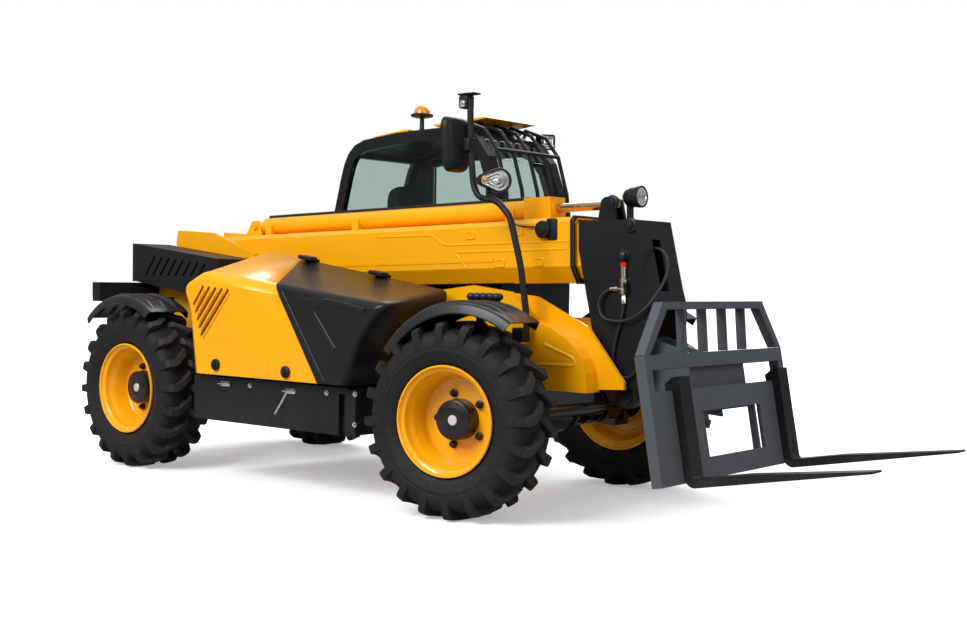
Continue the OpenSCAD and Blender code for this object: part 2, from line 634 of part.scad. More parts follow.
// Left side: fuel tank with a step recess under the cab door
tank_top = 905;
step_l = 420;
module fuel_tank() {
    in = frame_y + gap / 2;
    color(black) place() {
        difference() {
            block([skirt_back, in, skirt_bottom], [skirt_front, skirt_out, tank_top]);
            for (i = [0, 1]) block([skirt_front - step_l * 2.2, skirt_out - step_l / 2, skirt_bottom +
                step_l * (0.22 + i * 0.52)],
                [skirt_front - step_l, skirt_out + cut, skirt_bottom + step_l * (0.62 + i * 0.52)]);
        }
        for (x = [skirt_back + skirt_edge * 4, skirt_front - skirt_edge * 6])
            block([x, frame_y, skirt_top - skirt_edge * 3],
                [x + skirt_edge * 2, in + cut, skirt_top - skirt_edge]);
    }
}

// Rear: louvred covers either side of the boom tower, counterweight with a tow pin, and light bar
cover_inset = 50;
cover_out = 620;
cover_top_rear = 1674;
cover_top_front = 1550;
cover_slots = 8;
cover_slot_w = 22;
cover_slot_deep = 14;
module rear_cover() {
    in = tower_y + tower_t * 1.4 + gap;
    back = rear_x + cover_inset;
    span = cover_front - back;
    color(black) place() mirrored() difference() {
        plate([[back, cover_rear_z], [frame_back, cover_rear_z], [cover_front, cover_front_z],
               [cover_front, cover_top_front], [back, cover_top_rear]],
              in, cover_out);
        for (i = [0:cover_slots - 1]) translate([back + span * (0.16 + 0.09 * i), cover_out,
            cover_rear_z + cover_slot_w * 2])
            rotate([0, 40, 0]) block([-cover_slot_w / 2, -cover_slot_deep, 0],
                [cover_slot_w / 2, cut, cover_slot_w * 9 - i * cover_slot_w / 2]);
    }
}
weight_l = 240;
weight_z = 560;
hitch_gap = 70;
hitch_t = 30;
hitch_l = 150;
hitch_pin_d = 40;
module counterweight() {
    back = frame_back;
    face = back - frame_t / 2;
    color(black) place() difference() {
        union() {
            plate([[back + weight_l, axle_top_z], [back + weight_l, weight_z + hitch_gap],
                [back + weight_l / 2, weight_z],
                   [back, weight_z], [face, weight_z + hitch_gap], [face, cover_rear_z - hitch_gap * 3],
                   [back, cover_rear_z - hitch_gap * 3], [back, axle_top_z]],
                  -frame_y, frame_y);
            for (s = [-1, 1]) translate([0, 0, weight_z + hitch_l + s * (hitch_gap + hitch_t) / 2])
                block([rear_x, -hitch_l / 2, -hitch_t / 2], [back, hitch_l / 2, hitch_t / 2]);
        }
        translate([rear_x + hitch_pin_d, 0, weight_z]) cylinder(h = hitch_l * 2, d = hitch_pin_d);
    }
}
light_bar_w = 1900;
light_bar_h = 148;
light_bar_z = 1216;
lamp_w = 260;
module rear_light_bar() {
    color(black) place() {
        difference() {
            block([rear_x, -light_bar_w / 2, light_bar_z],
                [frame_back - seam, light_bar_w / 2, light_bar_z + light_bar_h]);
            mirrored() block([rear_x - cut, light_bar_w / 2 - lamp_w, light_bar_z + light_bar_h / 5],
                [rear_x + light_bar_t / 4, light_bar_w / 2 - light_bar_t / 3, light_bar_z +
                    light_bar_h * 0.8]);
        }
    }
    color("firebrick") place() mirrored()
        block([rear_x + gap / 2, light_bar_w / 2 - lamp_w + seam, light_bar_z + light_bar_h / 5 +
            seam],
              [rear_x + light_bar_t / 4 - seam, light_bar_w / 2 - light_bar_t / 3 - seam,
                  light_bar_z + light_bar_h * 0.8 - seam]);
}

// Cab on the left: a black frame with curved front and roof, windows all round and a rear-hinged door
cab_ahead = 780;
cab_back = -wheelbase + cab_ahead;
cab_z = 950;
cab_y = 260;
cab_shares = [[0, 0], [0.93, 0], [1, 0.06], [1, 0.45], [0.97, 0.71], [0.92, 0.86], [0.85, 0.955], [0.76, 1],
    [0.40, 1], [0.19, 0.978], [0.13, 0.955], [0.09, 0.915], [0.065, 0.865], [0.045, 0.80], [0, 0.62]];
sill_share = 0.30;
function cab_outline() = [for (p = cab_shares) [cab_back + p[0] * cab_len, cab_z + p[1] * cab_h]];
door_back_share = 0.16;
door_sill = 70;
hinge_pin_d = 16;
door_hinge_d = 34;
door_hinge_h = 90;
door_hinge_shares = [0.18, 0.72];
cab_left = cab_y + cab_w;
door_x = cab_back + cab_len * door_back_share;
sill_z = cab_z + cab_h * sill_share;
mount_d = 120;
module above(x, z) { block([x, 0, z], [cab_len, cab_left * 2, cab_h * 3]); }
module door_hinge_at() {
    for (s = door_hinge_shares) translate([door_x - door_hinge_d / 4, cab_left + door_hinge_d / 2 +
        gap / 2, cab_z + cab_h * s]) children();
}
module cab_shell() {
    difference() {
        plate(cab_outline(), cab_y, cab_left);
        plate(inset(cab_outline(), cab_wall), cab_y + cab_wall, cab_left - cab_wall);
    }
}
module windscreen_box(grow) {
    block([cab_back + cab_len * 0.82 - grow, cab_y + pillar_w - grow, sill_z + pillar_w - grow],
          [cab_back + cab_len * 1.2, cab_left - pillar_w + grow, cab_z + cab_h * 1.2]);
}
module rear_window_box(grow) {
    block([cab_back - cab_wall, cab_y + pillar_w - grow, sill_z + cab_wall - grow],
          [cab_back + cab_len * 0.12, cab_left - pillar_w + grow, cab_z + cab_h * 0.90 + grow]);
}
module cab_frame() {
    color(black) place() {
        difference() {
            cab_shell();
            // Right window
            intersection() {
                plate(inset(cab_outline(), pillar_w), cab_y - cut, cab_y + cab_wall + cut);
                above(cab_back, sill_z);
            }
            // Door opening
            intersection() {
                plate(inset(cab_outline(), pillar_w), cab_left - cab_wall - cut, cab_left + cut);
                above(door_x, cab_z + door_sill);
            }
            windscreen_box(0);
            rear_window_box(0);
        }
        // Pins of the door hinges on their brackets
        door_hinge_at() {
            translate([0, 0, -door_hinge_h * 0.7]) cylinder(h = door_hinge_h * 1.4, d = hinge_pin_d);
            for (s = [-1, 1]) translate([0, 0, s * door_hinge_h * 0.62]) {
                block([-door_hinge_d * 1.2, -door_hinge_d / 2, -door_hinge_h / 12],
                      [door_hinge_d / 3, door_hinge_d / 2, door_hinge_h / 12]);
                block([-door_hinge_d * 1.2, -door_hinge_d / 2 - gap / 2 - cut, -door_hinge_h / 12],
                      [-door_hinge_d / 4, 0, door_hinge_h / 12]);
            }
        }
        // Rubber mounts on the tank and the chassis
        for (x = [cab_back + mount_d, cab_back + cab_len * 0.86]) {
            translate([x, cab_left - mount_d, tank_top])
                cylinder(h = cab_z - tank_top + cut, d = mount_d);
            translate([x, frame_y - frame_t / 2, waist_z])
                cylinder(h = cab_z - waist_z + cut, d = frame_t);
        }
    }
}
glass_t = 8;
module cab_windows() {
    color(smoke) place() {
        intersection() {
            plate(inset(cab_outline(), pillar_w + seam), cab_y + cab_wall / 3, cab_y + cab_wall / 3 +
                glass_t);
            above(cab_back, sill_z + seam);
        }
        intersection() {
            difference() {
                plate(inset(cab_outline(), cab_wall / 3), cab_y + pillar_w + seam,
                    cab_left - pillar_w - seam);
                plate(inset(cab_outline(), cab_wall / 3 + glass_t), cab_y, cab_left);
            }
            union() {
                windscreen_box(-seam);
                rear_window_box(-seam);
            }
        }
    }
}
module cab_door() {
    out = inset(cab_outline(), pillar_w + gap);
    color(black) place() {
        difference() {
            intersection() {
                plate(out, cab_left - cab_wall, cab_left);
                above(door_x + gap, cab_z + door_sill + gap);
            }
            intersection() {
                plate(inset(cab_outline(), pillar_w * 1.8), cab_left - cab_wall - cut, cab_left + cut);
                above(door_x + pillar_w, sill_z);
            }
        }
        door_hinge_at() difference() {
            union() {
                translate([0, 0, -door_hinge_h / 2]) cylinder(h = door_hinge_h, d = door_hinge_d);
                block([0, -door_hinge_d / 2, -door_hinge_h / 2], [door_hinge_d * 2, 0, door_hinge_h / 2]);
                block([door_hinge_d, -door_hinge_d / 2 - gap / 2 - cut, -door_hinge_h / 2],
                    [door_hinge_d * 2, 0, door_hinge_h / 2]);
            }
            translate([0, 0, -door_hinge_h]) cylinder(h = door_hinge_h * 2, d = hinge_pin_d + fit * 2);
        }
    }
}
module door_glass() {
    color(smoke) place() intersection() {
        plate(inset(cab_outline(), pillar_w * 1.8 + seam), cab_left - cab_wall / 2 - glass_t,
            cab_left - cab_wall / 2);
        above(door_x + pillar_w + seam, sill_z + seam);
    }
}
// Roof panel that stands on the frame, with a visor over the windscreen
roof_shares = [[0.19, 0.9785], [0.40, 1.0005], [0.745, 1.0005], [0.745, 1.045], [0.84, 1.045],
    [0.835, 1.053], [0.64, 1.058],
    [0.40, 1.058], [0.185, 0.998]];
roof_inset = 110;
module cab_roof() {
    color(yellow) place() plate([for (p = roof_shares)
        [cab_back + p[0] * cab_len, cab_z + p[1] * cab_h]],
        cab_y + roof_inset, cab_left - cab_wall);
}
// Guard over the windscreen: bent bars from the cowl to the roof and a cross bar
guard_d = 28;
guard_off = 45;
guard_bars = 5;
module cab_guard() {
    pts = [for (i = [3:7]) cab_outline()[i] + [i < 7 ? guard_off : 0, i > 4 ? guard_off : 0]];
    foot = pts[0] - [guard_off - seam, 0];
    head = pts[4] - [0, guard_off - seam];
    color(black) place() {
        for (k = [0:guard_bars - 1]) {
            y = cab_y + pillar_w / 2 + (cab_w - pillar_w) * k / (guard_bars - 1);
            sweep([for (p = pts) [p[0], y, p[1]]], guard_d, [0, 1, 0]);
            // Feet on the cowl and on the roof
            bar_x(foot[0], pts[0][0], y, foot[1] + guard_d / 2, guard_d);
            translate([head[0], y, head[1]]) cylinder(h = guard_off, d = guard_d);
        }
        bar_y(pts[2][0], pts[2][1], guard_d, cab_y + pillar_w / 2, cab_left - pillar_w / 2);
    }
}
console_w = 200;
console_h = 520;
dash_l = 260;
dash_share = 0.75;
seat_w = 480;
seat_l = 480;
seat_t = 110;
seat_z = 420;
seat_ahead = 390;
seat_shift = 40;
seat_x = cab_back + seat_ahead;
seat_y = cab_y + cab_w / 2 + seat_shift;
// Dashboard under the windscreen, grown all round by an amount
module dash(grow) {
    floor = cab_z + cab_wall;
    front = cab_back + cab_len - cab_wall;
    block([front - dash_l - grow, cab_y + cab_wall - grow, floor + cab_wall * 1.5 - grow],
          [front + grow, cab_left - cab_wall - pillar_w + grow, floor + console_h * dash_share + grow]);
}
module cab_console() {
    floor = cab_z + cab_wall;
    color(black) place() {
        block([seat_x, cab_y + cab_wall, floor], [seat_x + seat_l * 1.3, seat_y - seat_w / 2 - gap,
            floor + console_h]);
        dash(0);
        block([seat_x + seat_t, seat_y - seat_w / 3, floor],
            [seat_x + seat_l * 0.9, seat_y + seat_w / 3, floor + seat_z - seat_t / 2]);
    }
}
back_lean = 8;
back_h = 720;
module seat() {
    floor = cab_z + cab_wall;
    color(black) place() {
        block([seat_x, seat_y - seat_w / 2, floor + seat_z - seat_t / 2],
            [seat_x + seat_l, seat_y + seat_w / 2, floor + seat_z + seat_t / 2]);
        translate([seat_x + seat_t / 4, seat_y - seat_w * 0.45, floor + seat_z]) rotate([0, -back_lean, 0])
            cube([seat_t, seat_w * 0.9, back_h]);
    }
}
wheel_ring_d = 380;
wheel_tube_d = 28;
column_d = 60;
module steering_column() {
    floor = cab_z + cab_wall;
    front = cab_back + cab_len - cab_wall;
    top = [front - dash_l * 1.5, seat_y, floor + console_h * 1.25];
    foot = [front - dash_l * 0.7, seat_y, floor + console_h * 0.7];
    color(black) place() {
        difference() {
            bar(foot, top, column_d);
            dash(seam);
        }
        translate(top) rotate([0, -atan2(foot[0] - top[0], top[2] - foot[2]), 0]) {
            rotate_extrude() translate([wheel_ring_d / 2, 0]) circle(d = wheel_tube_d);
            for (a = [90, 210, 330]) rotate([0, 0, a])
                block([0, -wheel_tube_d / 2, -wheel_tube_d / 3],
                    [wheel_ring_d / 2, wheel_tube_d / 2, wheel_tube_d / 3]);
            translate([0, 0, -wheel_tube_d / 2]) cylinder(h = wheel_tube_d, d = column_d * 1.5);
        }
    }
}
beacon_d = 130;
beacon_h = 66;
beacon_post = 62;
module beacon() {
    foot = cab_z + cab_h * roof_shares[6][1] + seam;
    color(amber) place() translate([cab_back + cab_len * 0.44, cab_y + cab_w * 0.24, foot]) rotate_extrude()
        polygon([[0, 0], [beacon_d * 0.2, 0], [beacon_d * 0.2, beacon_post * 0.5],
            [beacon_d * 0.5, beacon_post * 0.6],
            [beacon_d * 0.5, beacon_post], [beacon_d * 0.44, beacon_post],
                [beacon_d * 0.43, beacon_post + beacon_h * 0.5],
            [beacon_d * 0.34, beacon_post + beacon_h * 0.84], [beacon_d * 0.14, beacon_post + beacon_h],
                [0, beacon_post + beacon_h]]);
}

// Front lamps and the pole that carries the right headlamp and mirror.
// The pole's route is in shares of its reach and of its height over its foot.
pole_d = 44;
pole_gap = 28;
pole_foot = [150, 1080];
pole_reach = 500;
pole_h = 1470;
pole_shares = [[0, 0], [0, 0.07], [-0.106, 0.29], [-0.29, 0.50], [-0.50, 0.565], [-0.79, 0.58], [-0.89, 0.63],
    [-0.95, 0.81], [-0.96, 1]];
pole_y = -frame_y - pole_gap - pole_d / 2;
function pole_at(i) = pole_foot + scaled(pole_shares, pole_reach, pole_h)[i];
mirror_t = 60;
mirror_w = 250;
mirror_h = 350;
mirror_r = 50;
cap_w = 85;
module mirror_pole() {
    color(black) place() {
        sweep([for (i = [0:len(pole_shares) - 1]) [pole_at(i)[0], pole_y, pole_at(i)[1]]], pole_d, [0, 1, 0]);
        // Foot clamp on the chassis nose
        block([pole_foot[0] - pole_d, pole_y - pole_d * 0.7, pole_foot[1] - pole_d],
            [pole_foot[0] + pole_d, -frame_y, pole_foot[1] + pole_d]);
        // Mirror head with rounded corners on its arm
        translate([pole_at(7)[0] - mirror_t, pole_y, pole_at(7)[1]]) {
            translate([mirror_t / 2, 0, 0]) rotate([0, -90, 0]) linear_extrude(mirror_t) offset(mirror_r)
                offset(-mirror_r)
                polygon([[-mirror_h / 2, -mirror_w * 0.36], [mirror_h / 2, -mirror_w / 2],
                    [mirror_h / 2, mirror_w / 2], [-mirror_h / 2, mirror_w / 2]]);
            block([0, -pole_d / 2, -pole_d / 2], [mirror_t, pole_d / 2, pole_d / 2]);
        }
        // Small lamp with a visor hung on the top of the pole
        translate([pole_at(8)[0], pole_y, pole_at(8)[1]]) {
            block([-cap_w * 0.8, -cap_w * 0.4, -cap_w / 2],
                [0, cap_w * 0.4, cap_w / 2]);
            block([-cap_w * 0.8, -cap_w / 2, cap_w / 2 - cut],
                [cap_w * 0.6, cap_w / 2, cap_w / 2 + cut]);
        }
    }
}
drop_d = 150;
drop_l = 130;
drop_w = 250;
headlamp_turn = -28;
work_lamp_w = 95;
// Drop-shaped headlamp: a wide round end inward, a narrow end outward and a smaller back
module headlamp_shape() {
    hull() for (e = [[-0.5, 0.5], [0.5, 0.25]]) translate([0, -e[0] * (drop_w - drop_d), 0])
        rotate([0, 90, 0]) {
        cylinder(h = drop_l * 0.3, d = drop_d * e[1]);
        translate([0, 0, drop_l * 0.7]) cylinder(h = drop_l * 0.3, d = drop_d * e[1] * 2);
    }
}
module lamps() {
    arm = (pole_at(4) + pole_at(5)) / 2;
    stem = arm[1] + pole_d * 0.52;
    color(steel) place() {
        // Right headlamp on the pole
        translate([arm[0], pole_y, stem + drop_d * 0.62]) rotate([0, 0, headlamp_turn])
            translate([-drop_l / 2, 0, 0]) headlamp_shape();
        translate([arm[0], pole_y, stem]) cylinder(h = drop_d * 0.4, d = pole_d * 0.7);
        // Left headlamp on the cowl of the cab
        translate([cab_back + cab_len + seam, cab_left - drop_w, cab_z + cab_h * 0.34])
            mirror([0, 1, 0]) headlamp_shape();
        // Work lamp at the left end of the roof's front edge
        translate([cab_back + cab_len * 0.80, cab_left + seam, cab_z + cab_h * 0.942])
            cube([work_lamp_w * 0.7, work_lamp_w, work_lamp_w]);
    }
}

// Boom: an outer tube on the tower pin, an inner tube that slides in it, and the head
boom_top = 147;
boom_low = boom_top - boom_h;
boom_side_low_share = 0.76;
boom_bottom_share = 0.70;
boom_chamfer = 30;
boom_tail = 150;
slide_gap = 8;
collar_len = 520;
collar_up = 0;
seal_t = 22;
function tube(i, up = 0) = let (w = boom_w / 2 - i, t = boom_top - i + up, s =
    boom_top - boom_h * boom_side_low_share, b = boom_low + i)
    [[-boom_w / 2 * boom_bottom_share + i / 2, b], [boom_w / 2 * boom_bottom_share - i / 2, b], [w, s],
        [w, t - boom_chamfer],
     [w - boom_chamfer, t], [-w + boom_chamfer, t], [-w, t - boom_chamfer], [-w, s]];
module run(points, u0, u1) { translate([u0, 0, 0]) rotate([90, 0, 90]) linear_extrude(u1 - u0)
    polygon(points); }
module boom_outer() {
    color(yellow) on_boom() difference() {
        union() {
            run(tube(0), -boom_tail, boom_len - seal_t);
            run(tube(-boom_wall / 2, collar_up), boom_len - collar_len, boom_len - seal_t);
            // Raised border on each side
            mirrored() block([boom_len * 0.30, boom_w / 2 - cut, boom_low + boom_h * 0.34],
                [boom_len * 0.82, boom_w / 2 + boom_wall / 3, boom_low + boom_h * 0.40]);
        }
        run(tube(boom_wall), boom_pin_d * 2, boom_len + cut);
        bar_y(0, 0, boom_pin_d + fit * 2, -boom_w, boom_w);
    }
    color(black) on_boom() difference() {
        run(tube(-boom_wall, collar_up), boom_len - seal_t + seam, boom_len);
        run(tube(boom_wall), 0, boom_len + cut);
    }
}
// Eye of the lift rod under the boom, in the boom's frame and in the machine's
lift_drop = 132;
lift_eye_u = boom_len * 0.386;
lift_eye_v = boom_low - lift_drop;
lift_eye = [boom_pivot_x + lift_eye_u * cos(boom_rise) - lift_eye_v * sin(boom_rise),
    boom_pivot_z + lift_eye_u * sin(boom_rise) + lift_eye_v * cos(boom_rise)];
// Ears welded under the boom, with the pins of the lift cylinder's eye
module lift_lugs() {
    color(yellow) on_boom() mirrored() {
        plate(concat([[lift_eye_u - lift_pin_d, boom_low]],
            arc([lift_eye_u, lift_eye_v], lift_pin_d, 180, 360),
            [[lift_eye_u + lift_pin_d, boom_low]]), cross_d / 2, cross_d / 2 + ear_t);
        bar_y(lift_eye_u, lift_eye_v, lift_pin_d, cross_d / 2, cross_d / 2 + ear_t * 1.8);
    }
}
inner_start = boom_len * 0.138;
head_gap = 36;
head_back = boom_len + head_gap;
module boom_inner() {
    i = boom_wall + slide_gap;
    color(yellow) on_boom() difference() {
        run(tube(i), inner_start, head_back - seam);
        run(tube(i + boom_wall), inner_start - cut, head_back + cut);
    }
}
head_t = 25;
head_y = boom_w / 2 - boom_wall - slide_gap + seam;
head_len = 520;
head_shares = [[0.56, -1.06], [0.78, -1.06], [0.90, -0.98], [1, -0.52], [1, -0.42], [0.945, -0.31],
    [0.78, 0.12],
    [0, 0.13], [0, -0.06], [0.07, -0.24], [0.20, -0.60], [0.67, -0.93]];
head_pin_d = 60;
slot_w = 90;
function head_outline() = [for (p = head_shares) [head_back + p[0] * head_len, p[1] * tool_drop]];
extend_rise = 79;
extend_v = boom_top + extend_rise;
extend_back = boom_len * 0.119;
extend_front = boom_len * 0.925;
extend_rod_d = 58;
extend_pin_ahead = 110;
extend_pin_u = head_back + extend_pin_ahead;
lug_t = 25;
lug_gap = 70;
head_lamp_d = 130;
head_lamp_up = 150;
dome_shares = [[0, 0], [0.22, 0], [0.40, 0.17], [0.49, 0.50], [0.50, 0.82], [0.45, 0.90], [0, 0.90]];
hose_d = 20;
fitting_d = 34;
fitting_ahead = 342;
fitting_drop = 300;
clamp_ahead = 436;
clamp_drop = 700;
fitting_at = [head_back + fitting_ahead, -fitting_drop];
clamp_at = [head_back + clamp_ahead, -clamp_drop];
hose_y = -head_y - head_t - hose_d * 0.65;
// Hose routes from the head's back edge: a loop from the slot, and a hose that hangs to a clamp
loop_points = [[344, -25, -50], [394, -25, -50], [442, -26, -54], [487, -30, -69], [525, -40, -99],
    [551, -58, -143],
    [565, -85, -190], [571, -118, -236], [569, -155, -282], [558, -189, -328], [538, -214, -372],
        [508, -230, -412],
    [470, -240, -446], [425, -244, -472], [376, -246, -488], [324, -246, -494], [269, -245, -490],
        [221, -244, -477],
    [187, -242, -442], [174, -239, -395], [187, -234, -348], [221, -226, -313], [269, -219, -300],
        [308, -219, -300]];
feed_points = ring_y([[342, -334], [342, -380], [336, -430], [324, -480], [308, -530], [291, -580], [276, -632],
    [266, -690], [262, -746], [274, -790], [305, -821], [349, -833], [393, -821], [424, -790], [436, -760],
    [436, -734]], hose_y);
module boom_head() {
    pts = head_outline();
    color(black) on_boom() {
        mirrored() {
            plate(pts, head_y, head_y + head_t);
            bar_y(head_pin_u, -tool_drop, head_pin_d * 2.2, head_y, head_y + head_t * 1.4);
        }
        bar_y(head_pin_u, -tool_drop, head_pin_d, -head_y - head_t * 1.8, head_y + head_t * 1.8);
        // Foot pin of the tilt cylinder
        bar_y(tilt_foot_u, tilt_foot_v, tilt_pin_d, -head_y, head_y);
        // Front plate with the hose slot, top plate and a cross tube
        difference() {
            plate([pts[4], pts[5], pts[6], pts[6] - [head_t, 0], pts[5] - [head_t, 0],
                pts[4] - [head_t, 0]], -head_y, head_y);
            block([head_back, -slot_w / 2, -tool_drop * 0.33], [head_back + head_len * 2, slot_w / 2, 0]);
        }
        plate([pts[6], pts[7], pts[7] - [0, head_t], pts[6] - [0, head_t]], -head_y, head_y);
        bar_y(head_back + head_len * 0.62, -tool_drop * 0.20, head_pin_d, -head_y, head_y);
        // Lugs and pin of the extension rod
        mirrored() plate(concat([[extend_pin_u - lug_gap, pts[7][1] - cut],
            [extend_pin_u + lug_gap, pts[7][1] - cut]],
            arc([extend_pin_u, extend_v], lug_gap * 0.7, 0, 180)), lug_gap / 2, lug_gap / 2 + lug_t);
        bar_y(extend_pin_u, extend_v, extend_rod_d * 0.6, -lug_gap / 2 - lug_t * 1.3, lug_gap / 2 +
            lug_t * 1.3);
    }
    // Work lamp on a post from the top plate
    color(steel) on_boom() translate([head_back + head_len * 0.36, head_lamp_d * 0.2, pts[7][1] - cut]) {
        translate([0, 0, head_lamp_up]) rotate([0, 90, 0]) rotate_extrude()
            polygon([for (p = dome_shares) p * head_lamp_d]);
        translate([head_lamp_d * 0.3, 0, 0]) cylinder(h = head_lamp_up - head_lamp_d * 0.2, d = pole_d);
    }
    // Hose root on the cross tube, and the fitting and the clamp on the right side plate
    color(steel) on_boom() {
        root = [head_back, 0, 0] + loop_points[0];
        block(root - [fitting_d, fitting_d / 2, tool_drop * 0.16], root + [0, fitting_d / 2, fitting_d / 2]);
        for (p = [fitting_at, clamp_at])
            block([p[0] - fitting_d, hose_y - fitting_d * 0.6, p[1] - fitting_d],
                [p[0] + fitting_d, -head_y, p[1] + fitting_d]);
        translate([fitting_at[0], hose_y, fitting_at[1]]) cylinder(h = fitting_d * 3.4, d = fitting_d);
    }
}
module head_hose() { color(black) on_boom() translate([head_back, 0, 0])
    sweep(loop_points, hose_d, [0, 1, -0.6]); }
module feed_hose() { color(black) on_boom() translate([head_back, 0, 0])
    sweep(feed_points, hose_d, [0, 1, 0]); }
extend_wall = 10;
module extend_barrel() {
    color(yellow) on_boom() {
        difference() {
            union() {
                bar_x(extend_back + lug_gap, extend_front, 0, extend_v, extend_d);
                // Housing round the front end, on the collar of the boom
                block([extend_front - extend_d * 1.7, -extend_d * 0.62, boom_top + collar_up + boom_wall / 2],
                      [extend_front - gap, extend_d * 0.62, extend_v + extend_d * 0.56]);
                bar_x(extend_back, extend_back + lug_gap + cut, 0, extend_v, extend_d * 0.6);
                bar_y(extend_back, extend_v, extend_d * 0.7, -extend_d * 0.32, extend_d * 0.32);
                // Saddles on the boom
                for (u = [extend_back + extend_d, boom_len * 0.42, boom_len - collar_len - extend_d])
                    block([u, -extend_d * 0.62, boom_top], [u + extend_d * 0.5, extend_d * 0.62, extend_v]);
            }
            bar_x(extend_back + lug_gap * 2, extend_front - extend_d / 2, 0, extend_v,
                extend_d - extend_wall * 2);
            bar_x(extend_back + lug_gap * 3, extend_front + cut, 0, extend_v, extend_rod_d + fit * 2);
        }
        // Rear lugs with their pin
        mirrored() plate([[extend_back - extend_d, boom_top], [extend_back + extend_d / 2, boom_top],
            [extend_back + extend_d / 2, extend_v], [extend_back + extend_d / 4, extend_v + extend_d / 3],
            [extend_back - extend_d / 3, extend_v + extend_d / 3]],
            extend_d * 0.36, extend_d * 0.36 + lug_t);
        bar_y(extend_back, extend_v, extend_d * 0.36, -extend_d * 0.72, extend_d * 0.72);
    }
}
module extend_rod() {
    color(steel) on_boom() difference() {
        union() {
            bar_x(extend_back + extend_d * 1.8, extend_pin_u, 0, extend_v, extend_rod_d);
            bar_y(extend_pin_u, extend_v, extend_rod_d * 1.5, -lug_gap / 2 + fit, lug_gap / 2 - fit);
        }
        bar_y(extend_pin_u, extend_v, extend_rod_d * 0.6 + fit * 2, -lug_gap, lug_gap);
    }
}

// Lift cylinder between the chassis and the boom
lift_d = 150;
lift_rod_d = 85;
lift_angle = atan2(lift_eye[1] - lift_base[1], lift_eye[0] - lift_base[0]);
lift_len = norm(lift_eye - lift_base);
lift_barrel_share = 0.86;
module on_lift() { place() translate([lift_base[0], 0, lift_base[1]]) rotate([0, -lift_angle, 0])
    children(); }
module lift_barrel() {
    end = lift_len * lift_barrel_share;
    color(black) on_lift() difference() {
        union() {
            bar_y(0, 0, lift_pin_d * 1.6, -cross_d / 2 + gap, cross_d / 2 - gap);
            bar_x(0, lift_pin_d * 2, 0, 0, lift_pin_d);
            bar_x(lift_pin_d * 1.4, end, 0, 0, lift_d);
        }
        bar_y(0, 0, lift_pin_d + fit * 2, -cross_d, cross_d);
        bar_x(lift_pin_d * 2.2, end + cut, 0, 0, lift_rod_d + fit * 2);
    }
}
module lift_rod() {
    color(steel) on_lift() difference() {
        union() {
            bar_x(lift_pin_d * 3, lift_len, 0, 0, lift_rod_d);
            bar_y(lift_len, 0, lift_pin_d * 1.6, -cross_d / 2 + gap, cross_d / 2 - gap);
        }
        bar_y(lift_len, 0, lift_pin_d, -cross_d, cross_d);
    }
}

// Tilt cylinder inside the head, between the head and the hitch
tilt_d = 90;
tilt_rod_d = 50;
tilt_pin_d = 45;
tilt_foot_ahead = 60;
tilt_foot_u = head_back + tilt_foot_ahead;
tilt_foot_v = 20;
tilt_eye_reach = 60;
tilt_eye_up = 300;
tilt_ear_y = 70;
tilt_lean = tool_lean - boom_rise;
// Eye of the tilt rod in the boom's frame
tilt_eye = [head_pin_u + tilt_eye_reach * cos(tilt_lean) - tilt_eye_up * sin(tilt_lean),
    -tool_drop + tilt_eye_reach * sin(tilt_lean) + tilt_eye_up * cos(tilt_lean)];
tilt_span = tilt_eye - [tilt_foot_u, tilt_foot_v];
tilt_len = norm(tilt_span);
tilt_angle = atan2(tilt_span[1], tilt_span[0]);
module on_tilt() { on_boom() translate([tilt_foot_u, 0, tilt_foot_v]) rotate([0, -tilt_angle, 0])
    children(); }
module tilt_barrel() {
    color(black) on_tilt() difference() {
        union() {
            bar_y(0, 0, tilt_pin_d * 1.8, -tilt_ear_y + gap, tilt_ear_y - gap);
            bar_x(0, tilt_len * 0.84, 0, 0, tilt_d);
        }
        bar_y(0, 0, tilt_pin_d + fit * 2, -tilt_d * 2, tilt_d * 2);
        bar_x(tilt_pin_d * 1.6, tilt_len, 0, 0, tilt_rod_d + fit * 2);
    }
}
module tilt_rod() {
    color(steel) on_tilt() difference() {
        union() {
            bar_x(tilt_pin_d * 2.7, tilt_len, 0, 0, tilt_rod_d);
            bar_y(tilt_len, 0, tilt_pin_d * 1.8, -tilt_ear_y + gap, tilt_ear_y - gap);
        }
        bar_y(tilt_len, 0, tilt_pin_d, -tilt_d * 2, tilt_d * 2);
    }
}

